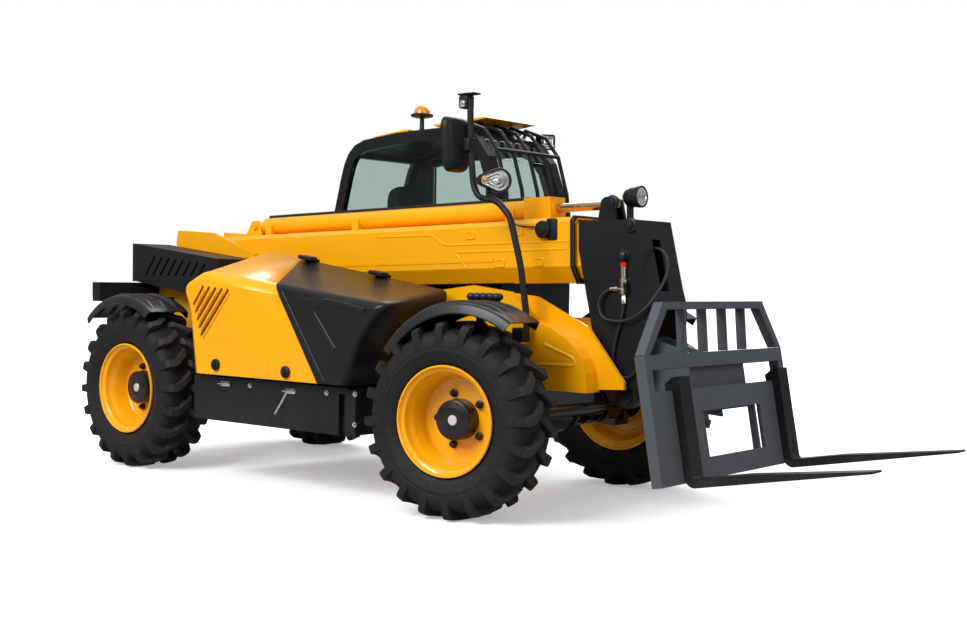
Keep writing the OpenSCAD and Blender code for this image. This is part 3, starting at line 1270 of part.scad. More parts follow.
// Tool: quick hitch on the head pin, fork carriage set to the right on it, load guard and two hooked forks
carriage_t = 65;
carriage_top = 200;
post_w = 60;
beam_h = 80;
plate_t = 25;
plate_top = 0;
window_w = 724;
window_top = -131;
window_low = -392;
carriage_shift = -80;
window_shift = -40;
fork_shift = 5;
carriage_front = fork_reach - fork_t - seam;
carriage_back = carriage_front - carriage_t;
carriage_low = carriage_top - carriage_h;
hitch_w = 620;
hitch_plate_t = 60;
hitch_top = 150;
hitch_low = -140;
ear_shares = [[-0.14, -0.16], [0.10, -0.24], [1, -0.60], [1, 0.60], [0.30, 1.14], [0.02, 1.16], [-0.10, 0.9]];
module quick_hitch() {
    back = carriage_back - hitch_plate_t;
    color(slate) on_tool() {
        mirrored() difference() {
            union() {
                plate([for (p = ear_shares) [p[0] * back, p[1] * tilt_eye_up]], tilt_ear_y, tilt_ear_y +
                    ear_t);
                bar_y(0, 0, head_pin_d * 1.8, tilt_ear_y, head_y - gap);
                bar_y(tilt_eye_reach, tilt_eye_up, tilt_pin_d, tilt_ear_y, tilt_ear_y + ear_t * 1.6);
            }
            bar_y(0, 0, head_pin_d + fit * 2, 0, boom_w);
        }
        block([back - cut, -hitch_w / 2, hitch_low], [carriage_back, hitch_w / 2, hitch_top]);
        mirrored() plate([[back, hitch_low], [back, hitch_top],
            [back - hitch_plate_t, hitch_top - hitch_plate_t],
            [back - hitch_plate_t, hitch_low + hitch_plate_t]], hitch_w / 2 - ear_t, hitch_w / 2);
    }
}
module fork_carriage() {
    color(slate) on_tool() {
        translate([0, carriage_shift, 0]) {
            mirrored() block([carriage_back, carriage_w / 2 - post_w, carriage_low],
                [carriage_front, carriage_w / 2, carriage_top]);
            block([carriage_back, -carriage_w / 2, carriage_top - beam_h],
                [carriage_front, carriage_w / 2, carriage_top]);
        }
        difference() {
            translate([0, carriage_shift, 0])
                block([carriage_front - plate_t, -carriage_w / 2, carriage_low],
                    [carriage_front, carriage_w / 2, plate_top]);
            translate([0, window_shift, 0]) block([0, -window_w / 2, window_low],
                [fork_reach * 2, window_w / 2, window_top]);
        }
        mirrored() block([carriage_back, hitch_w / 2 - ear_t, carriage_low + beam_h],
            [carriage_front - plate_t, hitch_w / 2, plate_top]);
    }
}
guard_lean = 6;
guard_h = 287;
guard_top_w = 1118;
guard_bar_w = 42;
guard_bar_t = 60;
guard_upright_t = 14;
guard_upright_shares = [-0.60, -0.20, 0.20, 0.60];
module load_guard() {
    w = carriage_w / 2;
    t = guard_top_w / 2;
    color(slate) on_tool() translate([carriage_front, carriage_shift, carriage_top])
        rotate([0, guard_lean, 0]) {
        difference() {
            run([[-w, seam], [w, seam], [t, guard_h], [-t, guard_h]], -guard_bar_t, 0);
            run([[-w + guard_bar_w * 1.3, -cut], [w - guard_bar_w * 1.3, -cut],
                [t - guard_bar_w, guard_h - guard_bar_w],
                [-t + guard_bar_w, guard_h - guard_bar_w]], -guard_bar_t - cut, cut);
        }
        for (s = guard_upright_shares)
            block([-guard_bar_t, s * t - guard_upright_t / 2, seam],
                [0, s * t + guard_upright_t / 2, guard_h - guard_bar_w / 2]);
    }
}
fork_tip_t = 12;
fork_heel_r = 60;
shank_top = 70;
hook_t = 22;
hook_up = 40;
hook_down = 35;
module fork_shape(y) {
    face = fork_reach;
    back = face - fork_t;
    low = fork_heel_z;
    c = [back + fork_heel_r, low + fork_heel_r];
    s = [face + fork_heel_r / 3, low + fork_t + fork_heel_r / 3];
    hook = carriage_front - plate_t - gap / 2;
    plate(concat(arc(c, fork_heel_r, 180, 270),
        [[face + fork_len, low], [face + fork_len, low + fork_tip_t], [face + fork_len * 0.3, low + fork_t]],
        arc(s, fork_heel_r / 3, 270, 180), [[face, shank_top], [back, shank_top]]), y - fork_w / 2, y +
            fork_w / 2);
    // Hook over the top edge of the carriage's plate
    plate([[hook - hook_t, plate_top - hook_down], [hook, plate_top - hook_down],
        [hook, plate_top + seam],
        [back + cut, plate_top + seam], [back + cut, shank_top], [hook - hook_t, plate_top + hook_up]],
        y - fork_w * 0.4, y + fork_w * 0.4);
}
module forks() { color(black) on_tool() for (s = [-1, 1]) fork_shape(fork_shift + s * fork_spacing / 2); }

chassis_frame();
front_axle();
rear_axle();
driveline();
engine_block();
engine_bay_frame();
side_skirt();
fuel_tank();
rear_cover();
counterweight();
rear_light_bar();
cab_frame();
cab_roof();
cab_windows();
cab_guard();
cab_console();
seat();
steering_column();
beacon();
lamps();
mirror_pole();
hood_panel();
hood_front();
cab_door();
door_glass();
boom_outer();
lift_lugs();
extend_barrel();
boom_inner();
boom_head();
head_hose();
feed_hose();
extend_rod();
lift_barrel();
lift_rod();
tilt_barrel();
tilt_rod();
quick_hitch();
fork_carriage();
load_guard();
forks();
front_right_knuckle();
front_left_knuckle();
rear_right_knuckle();
rear_left_knuckle();
front_right_fender();
front_left_fender();
rear_right_fender();
rear_left_fender();
front_right_rim();
front_left_rim();
rear_right_rim();
rear_left_rim();
front_right_tyre();
front_left_tyre();
rear_right_tyre();
rear_left_tyre();
front_steer_rod();
rear_steer_rod();
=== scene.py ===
import bpy, bmesh
import numpy as np
from mathutils import Matrix, Vector
from mathutils.geometry import tessellate_polygon


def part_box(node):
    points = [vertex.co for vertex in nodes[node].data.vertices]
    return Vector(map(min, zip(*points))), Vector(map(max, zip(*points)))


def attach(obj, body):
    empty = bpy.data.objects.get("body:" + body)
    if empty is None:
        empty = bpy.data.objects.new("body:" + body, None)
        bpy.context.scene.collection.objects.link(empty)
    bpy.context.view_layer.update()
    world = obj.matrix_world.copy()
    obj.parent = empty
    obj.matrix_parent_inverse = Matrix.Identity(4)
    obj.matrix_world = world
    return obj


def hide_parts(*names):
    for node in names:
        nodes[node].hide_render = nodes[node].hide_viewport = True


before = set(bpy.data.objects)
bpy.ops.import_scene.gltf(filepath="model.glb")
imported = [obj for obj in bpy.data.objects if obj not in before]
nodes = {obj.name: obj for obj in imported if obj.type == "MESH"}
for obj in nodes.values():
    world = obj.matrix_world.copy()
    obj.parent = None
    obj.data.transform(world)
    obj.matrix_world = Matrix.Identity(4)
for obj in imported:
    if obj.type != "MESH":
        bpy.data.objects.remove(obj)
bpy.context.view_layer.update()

# Camera: stands ahead of the machine on its right, at chest height, level but for a slight roll,
# as the photograph was taken.
scene = bpy.context.scene
scene.view_settings.view_transform = "Standard"
eye = np.array([5.7607, -6.6942, 1.3912])
yaw, pitch, roll = 2.2748, -0.0195, 0.0131
lens, sensor_width, view_reach = 48.4, 36.0, 200
ahead = np.array([np.cos(pitch) * np.cos(yaw), np.cos(pitch) * np.sin(yaw), np.sin(pitch)])
level_right = np.cross(ahead, [0, 0, 1])
level_right /= np.linalg.norm(level_right)
level_up = np.cross(level_right, ahead)
stand = np.eye(4)
stand[:3, 0] = np.cos(roll) * level_right + np.sin(roll) * level_up
stand[:3, 1] = np.cos(roll) * level_up - np.sin(roll) * level_right
stand[:3, 2] = -ahead
stand[:3, 3] = eye
camera = bpy.data.objects.new("camera", bpy.data.cameras.new("camera"))
camera.data.sensor_fit = "HORIZONTAL"
camera.data.sensor_width, camera.data.lens, camera.data.clip_end = sensor_width, lens, view_reach
camera.matrix_world = Matrix(stand.tolist())
scene.collection.objects.link(camera)
scene.camera = camera

# Head hoses: braided rubber hydraulic hoses of 20 mm on the boom's head. One loops from the slot in
# the front plate to the fitting on the right side plate, and one hangs from the fitting to its clamp.


def new_group(name, inputs, outputs):
    """An empty shader node group with float inputs given as (name, value) and outputs as (name, kind)."""
    group = bpy.data.node_groups.new(name, "ShaderNodeTree")
    for label, value in inputs:
        socket = group.interface.new_socket(label, in_out="INPUT", socket_type="NodeSocketFloat")
        socket.default_value = value
    for label, kind in outputs:
        group.interface.new_socket(label, in_out="OUTPUT", socket_type="NodeSocket" + kind)
    return group, group.nodes.new("NodeGroupInput"), group.nodes.new("NodeGroupOutput")


def node(tree, kind, links=(), **values):
    """A shader node with settings and socket values by name; links are (output, input name) pairs."""
    made = tree.nodes.new("ShaderNode" + kind)
    for label, value in values.items():
        if hasattr(made, label):
            setattr(made, label, value)
        else:
            made.inputs[label.replace("_", " ")].default_value = value
    for source, label in links:
        tree.links.new(source, made.inputs[label])
    return made


def reckoned(tree, operation, *terms):
    """The output of a sum on up to three terms, each a number or the output of another node."""
    made = node(tree, "Math", operation=operation)
    for slot, term in zip(made.inputs, terms):
        if isinstance(term, float):
            slot.default_value = term
        else:
            tree.links.new(term, slot)
    return made.outputs[0]


def mixed_colour(tree, share, first, second):
    """The first colour where the share is 0 and the second where it is 1; each is a colour or an output."""
    made = node(tree, "Mix", [(share, "Factor")], data_type="RGBA")
    for slot, colour in zip(made.inputs[6:8], (first, second)):
        if isinstance(colour, tuple):
            slot.default_value = (*colour, 1)
        else:
            tree.links.new(colour, slot)
    return made.outputs[2]


# Dust and fade: a mask of road dust that thickens toward the ground, a slow change of shade over
# the panel and a fine ripple, all from Object coordinates.
wear, wear_in, wear_out = new_group("dust_and_fade", [("Dust Height", 0.5), ("Ripple Size", 180.0)],
                                    [("Dust", "Float"), ("Shade", "Float"), ("Ripple", "Float")])
where = node(wear, "TexCoord").outputs["Object"]
over_ground = node(wear, "SeparateXYZ", [(where, "Vector")]).outputs["Z"]
cloud = node(wear, "TexNoise", [(where, "Vector")], Scale=3.1, Detail=6.0, Roughness=0.62).outputs["Fac"]
height_share = reckoned(wear, "DIVIDE", over_ground, wear_in.outputs["Dust Height"])
clean = node(wear, "MapRange", [(height_share, "Value")], interpolation_type="SMOOTHSTEP").outputs[0]
low = reckoned(wear, "SUBTRACT", 1.0, clean)
grit = node(wear, "TexNoise", [(where, "Vector")], Scale=38.0, Detail=4.0).outputs["Fac"]
speckle = reckoned(wear, "MULTIPLY", cloud, grit)
patch = node(wear, "MapRange", [(speckle, "Value")], From_Min=0.12, From_Max=0.42).outputs[0]
ripple = node(wear, "TexNoise", [(where, "Vector"), (wear_in.outputs["Ripple Size"], "Scale")], Detail=2.0)
for label, output in (("Dust", reckoned(wear, "MULTIPLY", low, patch)), ("Shade", cloud),
                      ("Ripple", ripple.outputs["Fac"])):
    wear.links.new(output, wear_out.inputs[label])

dust_colour, dust_dulls = (0.30, 0.25, 0.19), 0.35
coat_rough, bump_strength, fresh_rough, faded_rough = 0.08, 0.5, 0.85, 1.2


def painted(name, colour, faded, rough, ripple, bump, coat=0.0, metal=0.0, dust_height=0.9, dust_most=0.3,
            shine=0.5):
    """Material of one finish: its colour drifts to the faded one, dust dulls it low down, and a ripple of
    so many waves a metre bumps it."""
    made = bpy.data.materials.new(name)
    made.use_nodes = True
    tree = made.node_tree
    skin = tree.nodes["Principled BSDF"]
    for label, value in (("Coat Weight", coat), ("Coat Roughness", coat_rough), ("Metallic", metal),
                         ("Specular IOR Level", shine)):
        skin.inputs[label].default_value = value
    marks = tree.nodes.new("ShaderNodeGroup")
    marks.node_tree = wear
    marks.inputs["Dust Height"].default_value = dust_height
    marks.inputs["Ripple Size"].default_value = ripple
    tone = mixed_colour(tree, marks.outputs["Shade"], colour, faded)
    dusty = reckoned(tree, "MULTIPLY", marks.outputs["Dust"], dust_most)
    tree.links.new(mixed_colour(tree, dusty, tone, dust_colour), skin.inputs["Base Color"])
    dull = node(tree, "MapRange", [(marks.outputs["Shade"], "Value")], To_Min=rough * fresh_rough,
                To_Max=rough * faded_rough)
    duller = reckoned(tree, "MULTIPLY_ADD", dusty, dust_dulls, dull.outputs[0])
    tree.links.new(duller, skin.inputs["Roughness"])
    waves = node(tree, "Bump", [(marks.outputs["Ripple"], "Height")], Distance=bump, Strength=bump_strength)
    tree.links.new(waves.outputs[0], skin.inputs["Normal"])
    return made


front_axle = 0.6572036
boom_pin, boom_rise = np.array([front_axle - 3.3, 0, 1.58]), np.radians(1.3)


def on_boom(points):
    """Points of the boom's frame (along it, left, over it; origin on the tower pin) in the row frame."""
    along, left, over = np.moveaxis(np.asarray(points, float), -1, 0)
    forward = along * np.cos(boom_rise) - over * np.sin(boom_rise)
    up = along * np.sin(boom_rise) + over * np.cos(boom_rise)
    return np.stack([forward, left, up], -1) + boom_pin


hose_d, head_back, millimetre = 0.020, 3.656, 1000
loop = [(344, -25, -50), (394, -25, -50), (442, -26, -54), (487, -30, -69), (525, -40, -99), (551, -58, -143),
        (565, -85, -190), (571, -118, -236), (569, -155, -282), (558, -189, -328), (538, -214, -372),
        (508, -230, -412), (470, -240, -446), (425, -244, -472), (376, -246, -488), (324, -246, -494),
        (269, -245, -490), (221, -244, -477), (187, -242, -442), (174, -239, -395), (187, -234, -348),
        (221, -226, -313), (269, -219, -300), (308, -219, -300)]
feed = [(342, -219, -334), (342, -219, -380), (336, -219, -430), (324, -219, -480), (308, -219, -530),
        (291, -219, -580), (276, -219, -632), (266, -219, -690), (262, -219, -746), (274, -219, -790),
        (305, -219, -821), (349, -219, -833), (393, -219, -821), (424, -219, -790), (436, -219, -760),
        (436, -219, -734)]
hose_rubber = painted("hose_rubber", (0.012, 0.012, 0.013), (0.022, 0.022, 0.023), rough=0.45, ripple=900.0,
                      bump=0.0004, shine=0.35)
for name, route in (("head_hose", loop), ("feed_hose", feed)):
    line = on_boom(np.array(route) / millimetre + [head_back, 0, 0])
    curve = bpy.data.curves.new(name + "_cord", "CURVE")
    curve.dimensions, curve.use_fill_caps = "3D", True
    curve.bevel_depth, curve.bevel_resolution = hose_d / 2, 5
    spline = curve.splines.new("BEZIER")
    spline.bezier_points.add(len(line) - 1)
    spline.bezier_points.foreach_set("co", line.ravel())
    for point in spline.bezier_points:
        point.handle_left_type = point.handle_right_type = "AUTO"
    curve.materials.append(hose_rubber)
    hose = bpy.data.objects.new(name + "_cord", curve)
    scene.collection.objects.link(hose)
    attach(hose, "boom_extension")
    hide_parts(name)

# Floor and studio light: a wide pale floor that grows white with distance, under a sky that is bright
# overhead and dim at the horizon, one large soft lamp on the camera's left and weak ones ahead and behind.
world = bpy.data.worlds.new("studio")
scene.world = world
world.use_nodes = True
sky = world.node_tree
air = sky.nodes["Background"]
rays = node(sky, "LightPath")
seen = reckoned(sky, "MAXIMUM", rays.outputs["Is Camera Ray"], rays.outputs["Is Transmission Ray"])
toward = node(sky, "SeparateXYZ", [(node(sky, "TexCoord").outputs["Generated"], "Vector")])
light = node(sky, "MapRange", [(toward.outputs["Z"], "Value")], From_Min=-0.05, From_Max=0.9, To_Min=0.10,
             To_Max=0.80)
strength = node(sky, "Mix", [(seen, 0), (light.outputs[0], 2)], data_type="FLOAT")
strength.inputs[3].default_value = 1.0
sky.links.new(strength.outputs[0], air.inputs["Strength"])
air.inputs["Color"].default_value = (1, 1, 1, 1)


def soft_lamp(name, place, aim, size, watts):
    """A square area lamp at a place, turned toward a point."""
    lamp = bpy.data.objects.new(name, bpy.data.lights.new(name, "AREA"))
    lamp.data.size, lamp.data.energy = size, watts
    way = np.array(aim, float) - place
    side = np.cross(way, [0, 0, 1])
    turn = np.eye(4)
    turn[:3, 2] = -way / np.linalg.norm(way)
    turn[:3, 0] = side / np.linalg.norm(side)
    turn[:3, 1] = np.cross(turn[:3, 2], turn[:3, 0])
    turn[:3, 3] = place
    lamp.matrix_world = Matrix(turn.tolist())
    scene.collection.objects.link(lamp)


soft_lamp("key_lamp", place=(-0.5, -8.5, 7.0), aim=(0, 0, 1.0), size=5.0, watts=930)
soft_lamp("front_lamp", place=(9.0, -1.0, 4.5), aim=(0.5, 0, 1.0), size=4.0, watts=190)
soft_lamp("back_lamp", place=(-4.0, 7.5, 8.0), aim=(0, 0, 1.0), size=6.0, watts=650)
floor_half, glow_from, glow_full = 90, 2.4, 8.0
ground = bpy.data.meshes.new("floor")
ground.from_pydata([(x * floor_half, y * floor_half, 0) for x, y in ((-1, -1), (1, -1), (1, 1), (-1, 1))], [],
                   [(0, 1, 2, 3)])
floor = bpy.data.objects.new("floor", ground)
scene.collection.objects.link(floor)
pale = bpy.data.materials.new("pale_floor")
pale.use_nodes = True
floor_tree = pale.node_tree
matt = floor_tree.nodes["Principled BSDF"]
in_view = node(floor_tree, "LightPath").outputs["Is Camera Ray"]
bounce = mixed_colour(floor_tree, in_view, (0.40, 0.40, 0.40), (0.86, 0.86, 0.86))
floor_tree.links.new(bounce, matt.inputs["Base Color"])
matt.inputs["Roughness"].default_value = 0.9
matt.inputs["Specular IOR Level"].default_value = 0.05
matt.inputs["Emission Color"].default_value = (1, 1, 1, 1)
floor_place = node(floor_tree, "TexCoord").outputs["Object"]
from_middle = node(floor_tree, "VectorMath", [(floor_place, 0)], operation="LENGTH")
glow = node(floor_tree, "MapRange", [(from_middle.outputs["Value"], "Value")],
            interpolation_type="SMOOTHSTEP", From_Min=glow_from, From_Max=glow_full, To_Min=0.36, To_Max=1.0)
seen_glow = reckoned(floor_tree, "MULTIPLY", in_view, glow.outputs[0])
floor_tree.links.new(seen_glow, matt.inputs["Emission Strength"])
ground.materials.append(pale)

# Yellow enamel: gloss paint sprayed on welded steel plate, on the chassis, the boom and the roof.
# It carries the fine ripple of sprayed paint and a little road dust that gathers low down.


def finish(material, *names):
    """The material on each of these CAD nodes."""
    for name in names:
        nodes[name].data.materials.clear()
        nodes[name].data.materials.append(material)


yellow = painted("yellow_enamel", (0.92, 0.41, 0.001), (0.87, 0.365, 0.001), rough=0.30, ripple=240.0,
                 bump=0.0003, coat=0.18, dust_most=0.16, shine=0.3)
finish(yellow, "chassis_frame", "hood_panel", "cab_roof", "boom_outer", "lift_lugs", "extend_barrel",
       "boom_inner")

# Black paint: satin black sprayed on the steel of the boom's head, the cab frame, the forks and the
# cylinders, and a glossier black on the axles, the knuckles and the rods that steer them.
black = painted("satin_black_paint", (0.007, 0.0075, 0.009), (0.011, 0.0115, 0.0135), rough=0.36,
                ripple=260.0, bump=0.0003, coat=0.03, dust_most=0.10, shine=0.22)
finish(black, "boom_head", "lift_barrel", "tilt_barrel", "forks", "mirror_pole", "cab_guard", "cab_frame",
       "cab_door", "engine_block", "counterweight")
gloss = painted("gloss_black_paint", (0.006, 0.007, 0.009), (0.009, 0.010, 0.012), rough=0.20, ripple=200.0,
                bump=0.0003, coat=0.4, dust_most=0.08, shine=0.3)
finish(gloss, "front_axle", "rear_axle", "driveline", "front_right_knuckle", "front_left_knuckle",
       "rear_right_knuckle", "rear_left_knuckle", "front_steer_rod", "rear_steer_rod")

# Black plastic: thick moulded panels with a fine grain, screwed on as the covers, the skirt and the tank,
# and the same plastic inside the cab.
plastic = painted("moulded_black_plastic", (0.008, 0.0085, 0.0095), (0.013, 0.0135, 0.015), rough=0.42,
                  ripple=900.0, bump=0.0005, dust_most=0.09, shine=0.2)
finish(plastic, "engine_bay_frame", "side_skirt", "fuel_tank", "rear_cover", "rear_light_bar", "hood_front",
       "cab_console", "steering_column", "front_right_fender", "front_left_fender", "rear_right_fender",
       "rear_left_fender", "seat", "lamps")

# Tool steel: the hitch, the fork carriage and its load guard are welded from plate and bar, and painted
# dark slate all over.
slate = painted("slate_paint", (0.082, 0.089, 0.104), (0.060, 0.066, 0.078), rough=0.40, ripple=300.0,
                bump=0.0004, coat=0.05, dust_most=0.10, shine=0.3)
finish(slate, "quick_hitch", "fork_carriage", "load_guard")

# Bright rods: piston rods of ground steel, plated with hard chrome. The extension rod shows a coppery
# film of oil.
chrome = painted("hard_chrome", (0.74, 0.75, 0.77), (0.68, 0.69, 0.71), rough=0.12, ripple=60.0, bump=0.0001,
                 metal=1.0, dust_most=0.1)
finish(chrome, "lift_rod", "tilt_rod")
oiled = painted("oiled_rod", (0.66, 0.47, 0.28), (0.60, 0.40, 0.22), rough=0.16, ripple=60.0, bump=0.0001,
                metal=1.0, dust_most=0.1)
finish(oiled, "extend_rod")

# Glass: tinted safety glass in the cab and its door, held in rubber, and clear enough to see the seat
# through both sides. A thin uneven film of dirt dulls it.
tint = bpy.data.materials.new("tinted_glass")
tint.use_nodes = True
tint_tree = tint.node_tree
pane = tint_tree.nodes["Principled BSDF"]
pane.inputs["Transmission Weight"].default_value = 1.0
pane.inputs["IOR"].default_value = 1.2
glass_place = node(tint_tree, "TexCoord").outputs["Object"]
film = node(tint_tree, "TexNoise", [(glass_place, "Vector")], Scale=2.5, Detail=3.0).outputs["Fac"]
glass_colour = mixed_colour(tint_tree, film, (0.56, 0.65, 0.62), (0.63, 0.71, 0.68))
tint_tree.links.new(glass_colour, pane.inputs["Base Color"])
smear = node(tint_tree, "MapRange", [(film, "Value")], To_Min=0.0, To_Max=0.05)
tint_tree.links.new(smear.outputs[0], pane.inputs["Roughness"])
finish(tint, "cab_windows", "door_glass")

# Tyres: cross-ply tractor tyres, whose lugs run straight over the shoulder and bend toward the middle,
# in turn from either side. One closed skin each, round the wheel and round the section.
weld_reach = 1e-5


def settle(name, mesh, material, body, sharp=40):
    """Merges doubled points, turns faces outward, marks edges sharper than an angle and rides on a body."""
    work = bmesh.new()
    work.from_mesh(mesh)
    bmesh.ops.remove_doubles(work, verts=work.verts, dist=weld_reach)
    bmesh.ops.recalc_face_normals(work, faces=work.faces)
    work.to_mesh(mesh)
    work.free()
    mesh.polygons.foreach_set("use_smooth", np.ones(len(mesh.polygons), bool))
    mesh.set_sharp_from_angle(angle=np.radians(sharp))
    mesh.materials.append(material)
    made = bpy.data.objects.new(name, mesh)
    scene.collection.objects.link(made)
    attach(made, body)
    return made


def quads_over(index):
    """The four corners of each cell of a grid of point numbers."""
    cells = np.stack([index[:-1, :-1], index[1:, :-1], index[1:, 1:], index[:-1, 1:]], -1)
    return cells.reshape(-1, 4).tolist()


def grid_piece(name, points, material, body, close_u=False, close_v=False, caps=False, sharp=40):
    """Quads over a grid of points[u, v], with a flat cap on both v ends if asked, riding on a body."""
    nu, nv = points.shape[:2]
    index = np.arange(nu * nv).reshape(nu, nv)
    if close_u:
        index = np.vstack([index, index[:1]])
    if close_v:
        index = np.hstack([index, index[:, :1]])
    faces = quads_over(index)
    if caps:
        faces += [index[:nu, 0].tolist(), index[:nu, nv - 1][::-1].tolist()]
    mesh = bpy.data.meshes.new(name)
    mesh.from_pydata(points.reshape(-1, 3).tolist(), [], faces)
    return settle(name, mesh, material, body, sharp)


axle_z, wheel_out, kingpin_out, wheelbase = 0.585, 0.912, 0.8, 3.12
rear_axle, front_steer = front_axle - wheelbase, np.radians(9)
corners = [("front_right", front_axle, -1, front_steer, 1), ("front_left", front_axle, 1, front_steer, 1),
           ("rear_right", rear_axle, -1, 0.0, -1), ("rear_left", rear_axle, 1, 0.0, -1)]


def on_corner(points, x, side, steer):
    """Points of a wheel frame (X ahead, Y outward, Z up, origin at the wheel centre), put at one corner."""
    out = np.stack([points[..., 0], side * (points[..., 1] + wheel_out - kingpin_out), points[..., 2]], -1)
    turn = np.array([[np.cos(steer), -np.sin(steer), 0], [np.sin(steer), np.cos(steer), 0], [0, 0, 1]])
    return out @ turn.T + [x, side * kingpin_out, axle_z]


lug_count, lug_width_share, lug_flank_share = 20, 0.38, 0.045
bend_out, bend_slope = 0.105, 1.05
lug_foot_r, lug_top_ramp = 0.550, 0.026
carcass = np.array([(0.544, 0.0), (0.544, 0.03), (0.5435, 0.06), (0.542, 0.095), (0.538, 0.125),
                    (0.529, 0.155), (0.512, 0.176), (0.490, 0.189), (0.462, 0.1965), (0.440, 0.1985),
                    (0.437, 0.1965), (0.412, 0.1985), (0.408, 0.195), (0.375, 0.187), (0.352, 0.176),
                    (0.342, 0.170), (0.336, 0.160), (0.320, 0.155), (0.3015, 0.144)])
lug_line = [(0.544, -0.012), (0.582, 0.012), (0.5845, 0.055), (0.584, 0.10), (0.580, 0.14), (0.572, 0.172),
            (0.548, 0.1925), (0.512, 0.1995), (0.474, 0.1995), (0.440, 0.1985)]
tread = np.array(lug_line + carcass[len(lug_line):].tolist())


def tyre_points():
    """Ring of sections: the radius goes from the carcass to the tread line where a lug stands, and the angle
    is the lug's turn plus a sweep of about 45 degrees between the middle and half the tread's width."""
    edges = np.array([0.0, lug_flank_share, 0.2, lug_width_share - lug_flank_share, lug_width_share, 0.44])
    beat = np.unique(np.round(np.concatenate([edges, (edges + 0.5) % 1.0]), 4))
    turn = (np.arange(lug_count)[:, None] + beat).ravel() / lug_count * 2 * np.pi
    phase = np.tile(beat, lug_count)
    angle = turn[:, None] + np.clip(bend_out - carcass[:, 1], 0, None) * bend_slope / axle_z
    halves = []
    for side, start in ((-1, 0.5), (1, 0.0)):
        mine = (phase - start) % 1.0
        flank = np.minimum(mine, lug_width_share - mine) / lug_flank_share
        line = carcass + (tread - carcass) * np.clip(flank, 0, 1)[:, None, None]
        radius, out = line[..., 0], side * line[..., 1]
        halves.append(np.stack([radius * np.cos(angle), out, radius * np.sin(angle)], -1))
    return np.concatenate([halves[0][:, ::-1], halves[1][:, 1:]], 1)


def tinted(material, share, colour):
    """Lays a colour over a finish's own colour, by the share that a node puts out."""
    base = material.node_tree.nodes["Principled BSDF"].inputs["Base Color"]
    own = base.links[0].from_socket
    material.node_tree.links.new(mixed_colour(material.node_tree, share, own, colour), base)


rubber = painted("tyre_rubber", (0.0085, 0.0085, 0.0095), (0.014, 0.0138, 0.0135), rough=0.60, ripple=420.0,
                 bump=0.0010, dust_height=1.3, dust_most=0.045, shine=0.2)
# The lug tops and the outer part of their walls are coloured a lighter grey than the grooves.
lug_top_tint = node(rubber.node_tree, "Attribute", attribute_name="lug_top")
tinted(rubber, lug_top_tint.outputs["Fac"], (0.034, 0.034, 0.035))
for corner, x, side, steer, way in corners:
    tyre = grid_piece(corner + "_tyre_tread", on_corner(tyre_points(), x, side, steer), rubber,
                      corner + "_wheel", close_u=True, close_v=True, sharp=24)
    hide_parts(corner + "_tyre")
    hub, axis_end = on_corner(np.array([[0, 0, 0], [0, 1, 0]]), x, side, steer)
    skin_points = np.empty(len(tyre.data.vertices) * 3)
    tyre.data.vertices.foreach_get("co", skin_points)
    radius = np.linalg.norm(np.cross(skin_points.reshape(-1, 3) - hub, axis_end - hub), axis=1)
    lug_top_share = np.clip((radius - lug_foot_r) / lug_top_ramp, 0, 1)
    tyre.data.attributes.new("lug_top", "FLOAT", "POINT").data.foreach_set("value", lug_top_share)

# Rims: deep-dish steel rims, welded from a rolled ring and a pressed disc and painted yellow, with a
# black hub drum, a ring of dome nuts round it and a pale cap in the middle.


def revolved(profile, steps=96):
    """A profile of (radius, outward) points turned about the wheel's axis; u goes round and v along it."""
    radius, out = np.asarray(profile, float).T
    angle = np.linspace(0, 2 * np.pi, steps, endpoint=False)[:, None]
    outward = np.broadcast_to(out, (steps, len(out)))
    return np.stack([radius * np.cos(angle), outward, radius * np.sin(angle)], -1)


# The rims' yellow is a brighter copy of the body's yellow enamel: painted light, standing in for the light
# that falls in the dish.
rim_lit_yellow = painted("rim_lit_enamel", (0.96, 0.43, 0.002), (0.92, 0.38, 0.002), rough=0.24, ripple=200.0,
                     bump=0.0003, coat=0.3, dust_height=1.2, dust_most=0.06, shine=0.35)
hub_black = painted("hub_black", (0.008, 0.008, 0.009), (0.012, 0.012, 0.013), rough=0.30, ripple=200.0,
                    bump=0.0003, coat=0.2, dust_most=0.06, shine=0.3)
cap_pale = painted("cap_alloy", (0.80, 0.78, 0.74), (0.66, 0.64, 0.60), rough=0.35, ripple=200.0, bump=0.0003,
                   metal=0.4, dust_most=0.1)
rim_profile = [(0.330, 0.178), (0.326, 0.1835), (0.319, 0.1835), (0.3145, 0.178), (0.311, 0.166),
               (0.300, 0.159), (0.292, 0.152), (0.288, 0.13), (0.282, 0.107), (0.276, 0.100), (0.268, 0.07),
               (0.257, 0.036), (0.251, -0.010), (0.243, -0.0185), (0.232, -0.0205), (0.118, -0.0205),
               (0.118, -0.0245), (0.206, -0.0245), (0.214, -0.0405), (0.24, -0.0405), (0.251, -0.044),
               (0.256, -0.071), (0.270, -0.145), (0.312, -0.165), (0.316, -0.178), (0.330, -0.178),
               (0.330, -0.168), (0.300, -0.155), (0.270, -0.071), (0.264, 0.0355), (0.290, 0.1065),
               (0.300, 0.150), (0.3295, 0.168)]
drum_profile = [(0.0, 0.0790), (0.034, 0.0790), (0.036, 0.0800), (0.078, 0.0800), (0.080, 0.0790),
                (0.112, 0.0785), (0.1175, 0.0755), (0.1195, 0.070), (0.1195, 0.036), (0.1225, 0.034),
                (0.1225, -0.020), (0.116, -0.020)]
cap_profile = [(0.0, 0.0855), (0.020, 0.085), (0.028, 0.0835), (0.031, 0.080), (0.0, 0.0795)]
nut_profile = [(0.025, 0.0), (0.025, 0.012), (0.019, 0.015), (0.0185, 0.030), (0.013, 0.038), (0.001, 0.041)]
screw_profile = [(0.007, 0.0), (0.007, 0.0035), (0.0055, 0.0045)]


